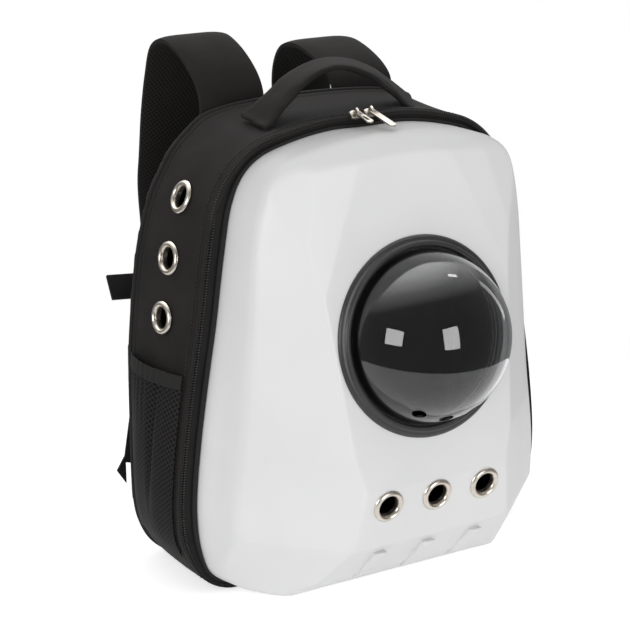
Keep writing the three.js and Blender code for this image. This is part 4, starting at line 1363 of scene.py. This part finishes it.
def stitches(name, line, out, length, pitch, material):
    """A row of short stitches along a line of places in metres."""
    places, along = along_line(line, pitch / 1000)
    lift = resampled(out, len(places))
    across = unit(np.cross(along, lift))
    lift = unit(np.cross(across, along))
    corners, faces = pill(length / 1000, 0.0007, 0.0006, 6)
    row = repeated(name, corners, faces, places, along, across, lift)
    dress(row, material, angle=60)
    return row


class CARRIER_OT_stitching(bpy.types.Operator):
    """Runs the two rows of stitches round the cloth body, beside the zipper and beside the rear seam"""

    bl_idname = "carrier.stitching"
    bl_label = "Stitching"

    def execute(self, context):
        settings = context.scene.carrier
        thread = materials()["thread"]
        length = settings.stitch_length * 1000
        for name, share in (("front", 0.075), ("rear", 0.905)):
            ring = millimetres(body_ring(share, 0.15))
            out = millimetres(body_ring(share, 1.15)) - ring
            line, lift = np.vstack([ring, ring[:1]]), np.vstack([out, out[:1]])
            stitches(f"body_stitches_{name}", line, lift, length, 4.2, thread)
        return {"FINISHED"}


class CARRIER_OT_stage(bpy.types.Operator):
    """Sets the pale floor, the soft lights and the camera at the photograph's angle"""

    bl_idname = "carrier.stage"
    bl_label = "Stage"

    def execute(self, context):
        scene = context.scene
        scene.view_settings.view_transform = "Standard"
        bpy.ops.object.select_all(action="DESELECT")
        bpy.ops.mesh.primitive_circle_add(
            vertices=96, radius=0.55, fill_type="NGON", location=(0, 0, -0.0004)
        )
        floor = context.object
        floor.name = "floor"
        # White card lit from below, so that its shadows stay faint to the camera.
        made, tree, shader = new_material(
            "lit_white_card", Roughness=0.9, Base_Color=linear("#f7f7f7"), Emission_Color=(1, 1, 1, 1)
        )
        view = add_node(tree, "ShaderNodeLightPath")
        seen = add_node(
            tree, "ShaderNodeMath", {0: view.outputs["Is Camera Ray"], 1: view.outputs["Is Glossy Ray"]}
        )
        glow = add_node(
            tree, "ShaderNodeMapRange", {"Value": seen.outputs["Value"], "To Min": 0.1, "To Max": 0.6}
        )
        tree.links.new(glow.outputs["Result"], shader.inputs["Emission Strength"])
        floor.data.materials.append(made)

        world = bpy.data.worlds.new("studio")
        scene.world = world
        world.use_nodes = True
        self.room(world.node_tree)

        target = Vector(millimetres((0, PANEL_DEPTH, DOME_UP)))
        # Columns: name, azimuth and elevation from the window, distance, width, height, radiance,
        # and whether it is a light in the shine or the light on the surfaces.
        for name, azimuth, elevation, distance, width, height, radiance, shine in (
            ("softbox_left", -74, 11.5, 1.7, 0.7, 0.55, 10, True),
            ("softbox_front", 1, 11.5, 1.7, 0.62, 0.8, 10, True),
            ("overhead", 96, 57, 1.6, 0.12, 0.25, 10, True),
            ("strip_right", 100, 12, 1.7, 0.2, 0.9, 2.2, True),
            ("key", -32, 8, 3.2, 1.8, 1.3, 5.2, False),
        ):
            a, e = math.radians(azimuth), math.radians(elevation)
            away = Vector((math.sin(a) * math.cos(e), -math.cos(a) * math.cos(e), math.sin(e)))
            light = bpy.data.lights.new(name, "AREA")
            light.shape = "RECTANGLE"
            light.size, light.size_y = width, height
            light.energy = radiance * math.pi * width * height
            holder = bpy.data.objects.new(name, light)
            scene.collection.objects.link(holder)
            holder.location = target + away * distance
            holder.rotation_euler = away.to_track_quat("Z", "Y").to_euler()
            holder.visible_glossy = shine
            holder.visible_diffuse = not shine
            holder.visible_transmission = False

        camera = bpy.data.objects.new("camera", bpy.data.cameras.new("camera"))
        scene.collection.objects.link(camera)
        camera.data.lens = 114.286
        camera.data.sensor_width = 36
        camera.data.clip_end = 50
        place = Matrix.Translation(Vector(millimetres((-943.9, 1455.2, 753.3))))
        turn = (
            Matrix.Rotation(math.radians(-31.52), 4, "Z")
            @ Matrix.Rotation(math.radians(90 - 16.7), 4, "X")
            @ Matrix.Rotation(math.radians(-0.3974), 4, "Z")
        )
        camera.matrix_world = place @ turn
        scene.camera = camera
        return {"FINISHED"}

    def room(self, tree):
        """A room that is white behind the object, and a soft gradient where it lights or mirrors it."""
        view = add_node(tree, "ShaderNodeLightPath")
        way = add_node(tree, "ShaderNodeTexCoord").outputs["Generated"]
        high = add_node(tree, "ShaderNodeSeparateXYZ", {"Vector": way}).outputs["Z"]
        lit = add_node(tree, "ShaderNodeMapRange", {
            "Value": high, "From Min": -0.1, "From Max": 0.9, "To Min": 0.8, "To Max": 0.56,
        })
        # The mirrored room is dark but for one broad light above and behind the object.
        toward = add_node(
            tree, "ShaderNodeVectorMath", {0: way, 1: (0.087, 0.492, 0.866)}, operation="DOT_PRODUCT"
        )
        ramp = add_node(tree, "ShaderNodeValToRGB", {"Fac": toward.outputs["Value"]})
        for position, value in (
            (0.0, 0.07), (0.5, 0.08), (0.62, 0.21), (0.75, 0.35), (0.88, 0.68), (0.98, 1.0)
        ):
            stop = ramp.color_ramp.elements[0] if position == 0 else ramp.color_ramp.elements.new(position)
            stop.position, stop.color = position, (value, value, value, 1)
        ramp.color_ramp.elements.remove(ramp.color_ramp.elements[-1])
        mirrored = add_node(
            tree, "ShaderNodeMath", {0: ramp.outputs["Color"], 1: 3.6}, operation="MULTIPLY"
        )
        seen = add_node(tree, "ShaderNodeMix", {
            "Factor": view.outputs["Is Glossy Ray"],
            "A": lit.outputs["Result"],
            "B": mirrored.outputs["Value"],
        })
        strength = add_node(tree, "ShaderNodeMix", {
            "Factor": view.outputs["Is Camera Ray"], "A": seen.outputs["Result"], "B": 1.0,
        })
        tree.links.new(strength.outputs["Result"], tree.nodes["Background"].inputs["Strength"])
        tree.nodes["Background"].inputs["Color"].default_value = (1, 1, 1, 1)


class CarrierSettings(bpy.types.PropertyGroup):
    """Sizes that a user would change"""

    edge_radius: FloatProperty(
        name="Facet edge radius", description="Rounding of the edges between the shell's flat faces",
        default=0.004, min=0.001, max=0.02, unit="LENGTH",
    )
    shoulder_radius: FloatProperty(
        name="Shoulder radius", description="Rounding between the shell's front and its side wall",
        default=0.0065, min=0.002, max=0.03, unit="LENGTH",
    )
    tooth_pitch: FloatProperty(
        name="Coil pitch", description="Distance from one turn of the zipper's coil to the next",
        default=0.0024, min=0.001, max=0.006, unit="LENGTH",
    )
    stitch_length: FloatProperty(
        name="Stitch length", description="Length of one visible stitch",
        default=0.003, min=0.001, max=0.008, unit="LENGTH",
    )


OPERATORS = (
    CARRIER_OT_stage,
    CARRIER_OT_shell,
    CARRIER_OT_window,
    CARRIER_OT_eyelets,
    CARRIER_OT_zipper,
    CARRIER_OT_body,
    CARRIER_OT_back,
    CARRIER_OT_handle,
    CARRIER_OT_straps,
    CARRIER_OT_pockets,
    CARRIER_OT_stitching,
)


class CARRIER_PT_panel(bpy.types.Panel):
    """Lists the pieces of the carrier in the order they are made"""

    bl_label = "Pet Carrier Backpack"
    bl_idname = "CARRIER_PT_panel"
    bl_space_type = "VIEW_3D"
    bl_region_type = "UI"
    bl_category = "Carrier"

    def draw(self, context):
        settings = context.scene.carrier
        for name in CarrierSettings.__annotations__:
            self.layout.prop(settings, name)
        for operator in OPERATORS:
            self.layout.operator(operator.bl_idname)


CLASSES = (CarrierSettings, *OPERATORS, CARRIER_PT_panel)


def register():
    for cls in CLASSES:
        bpy.utils.register_class(cls)
    bpy.types.Scene.carrier = PointerProperty(type=CarrierSettings)


def unregister():
    del bpy.types.Scene.carrier
    for cls in reversed(CLASSES):
        bpy.utils.unregister_class(cls)


def main():
    """Builds every piece in order."""
    register()
    for operator in OPERATORS:
        group, name = operator.bl_idname.split(".")
        getattr(getattr(bpy.ops, group), name)()


if __name__ == "__main__":
    main()
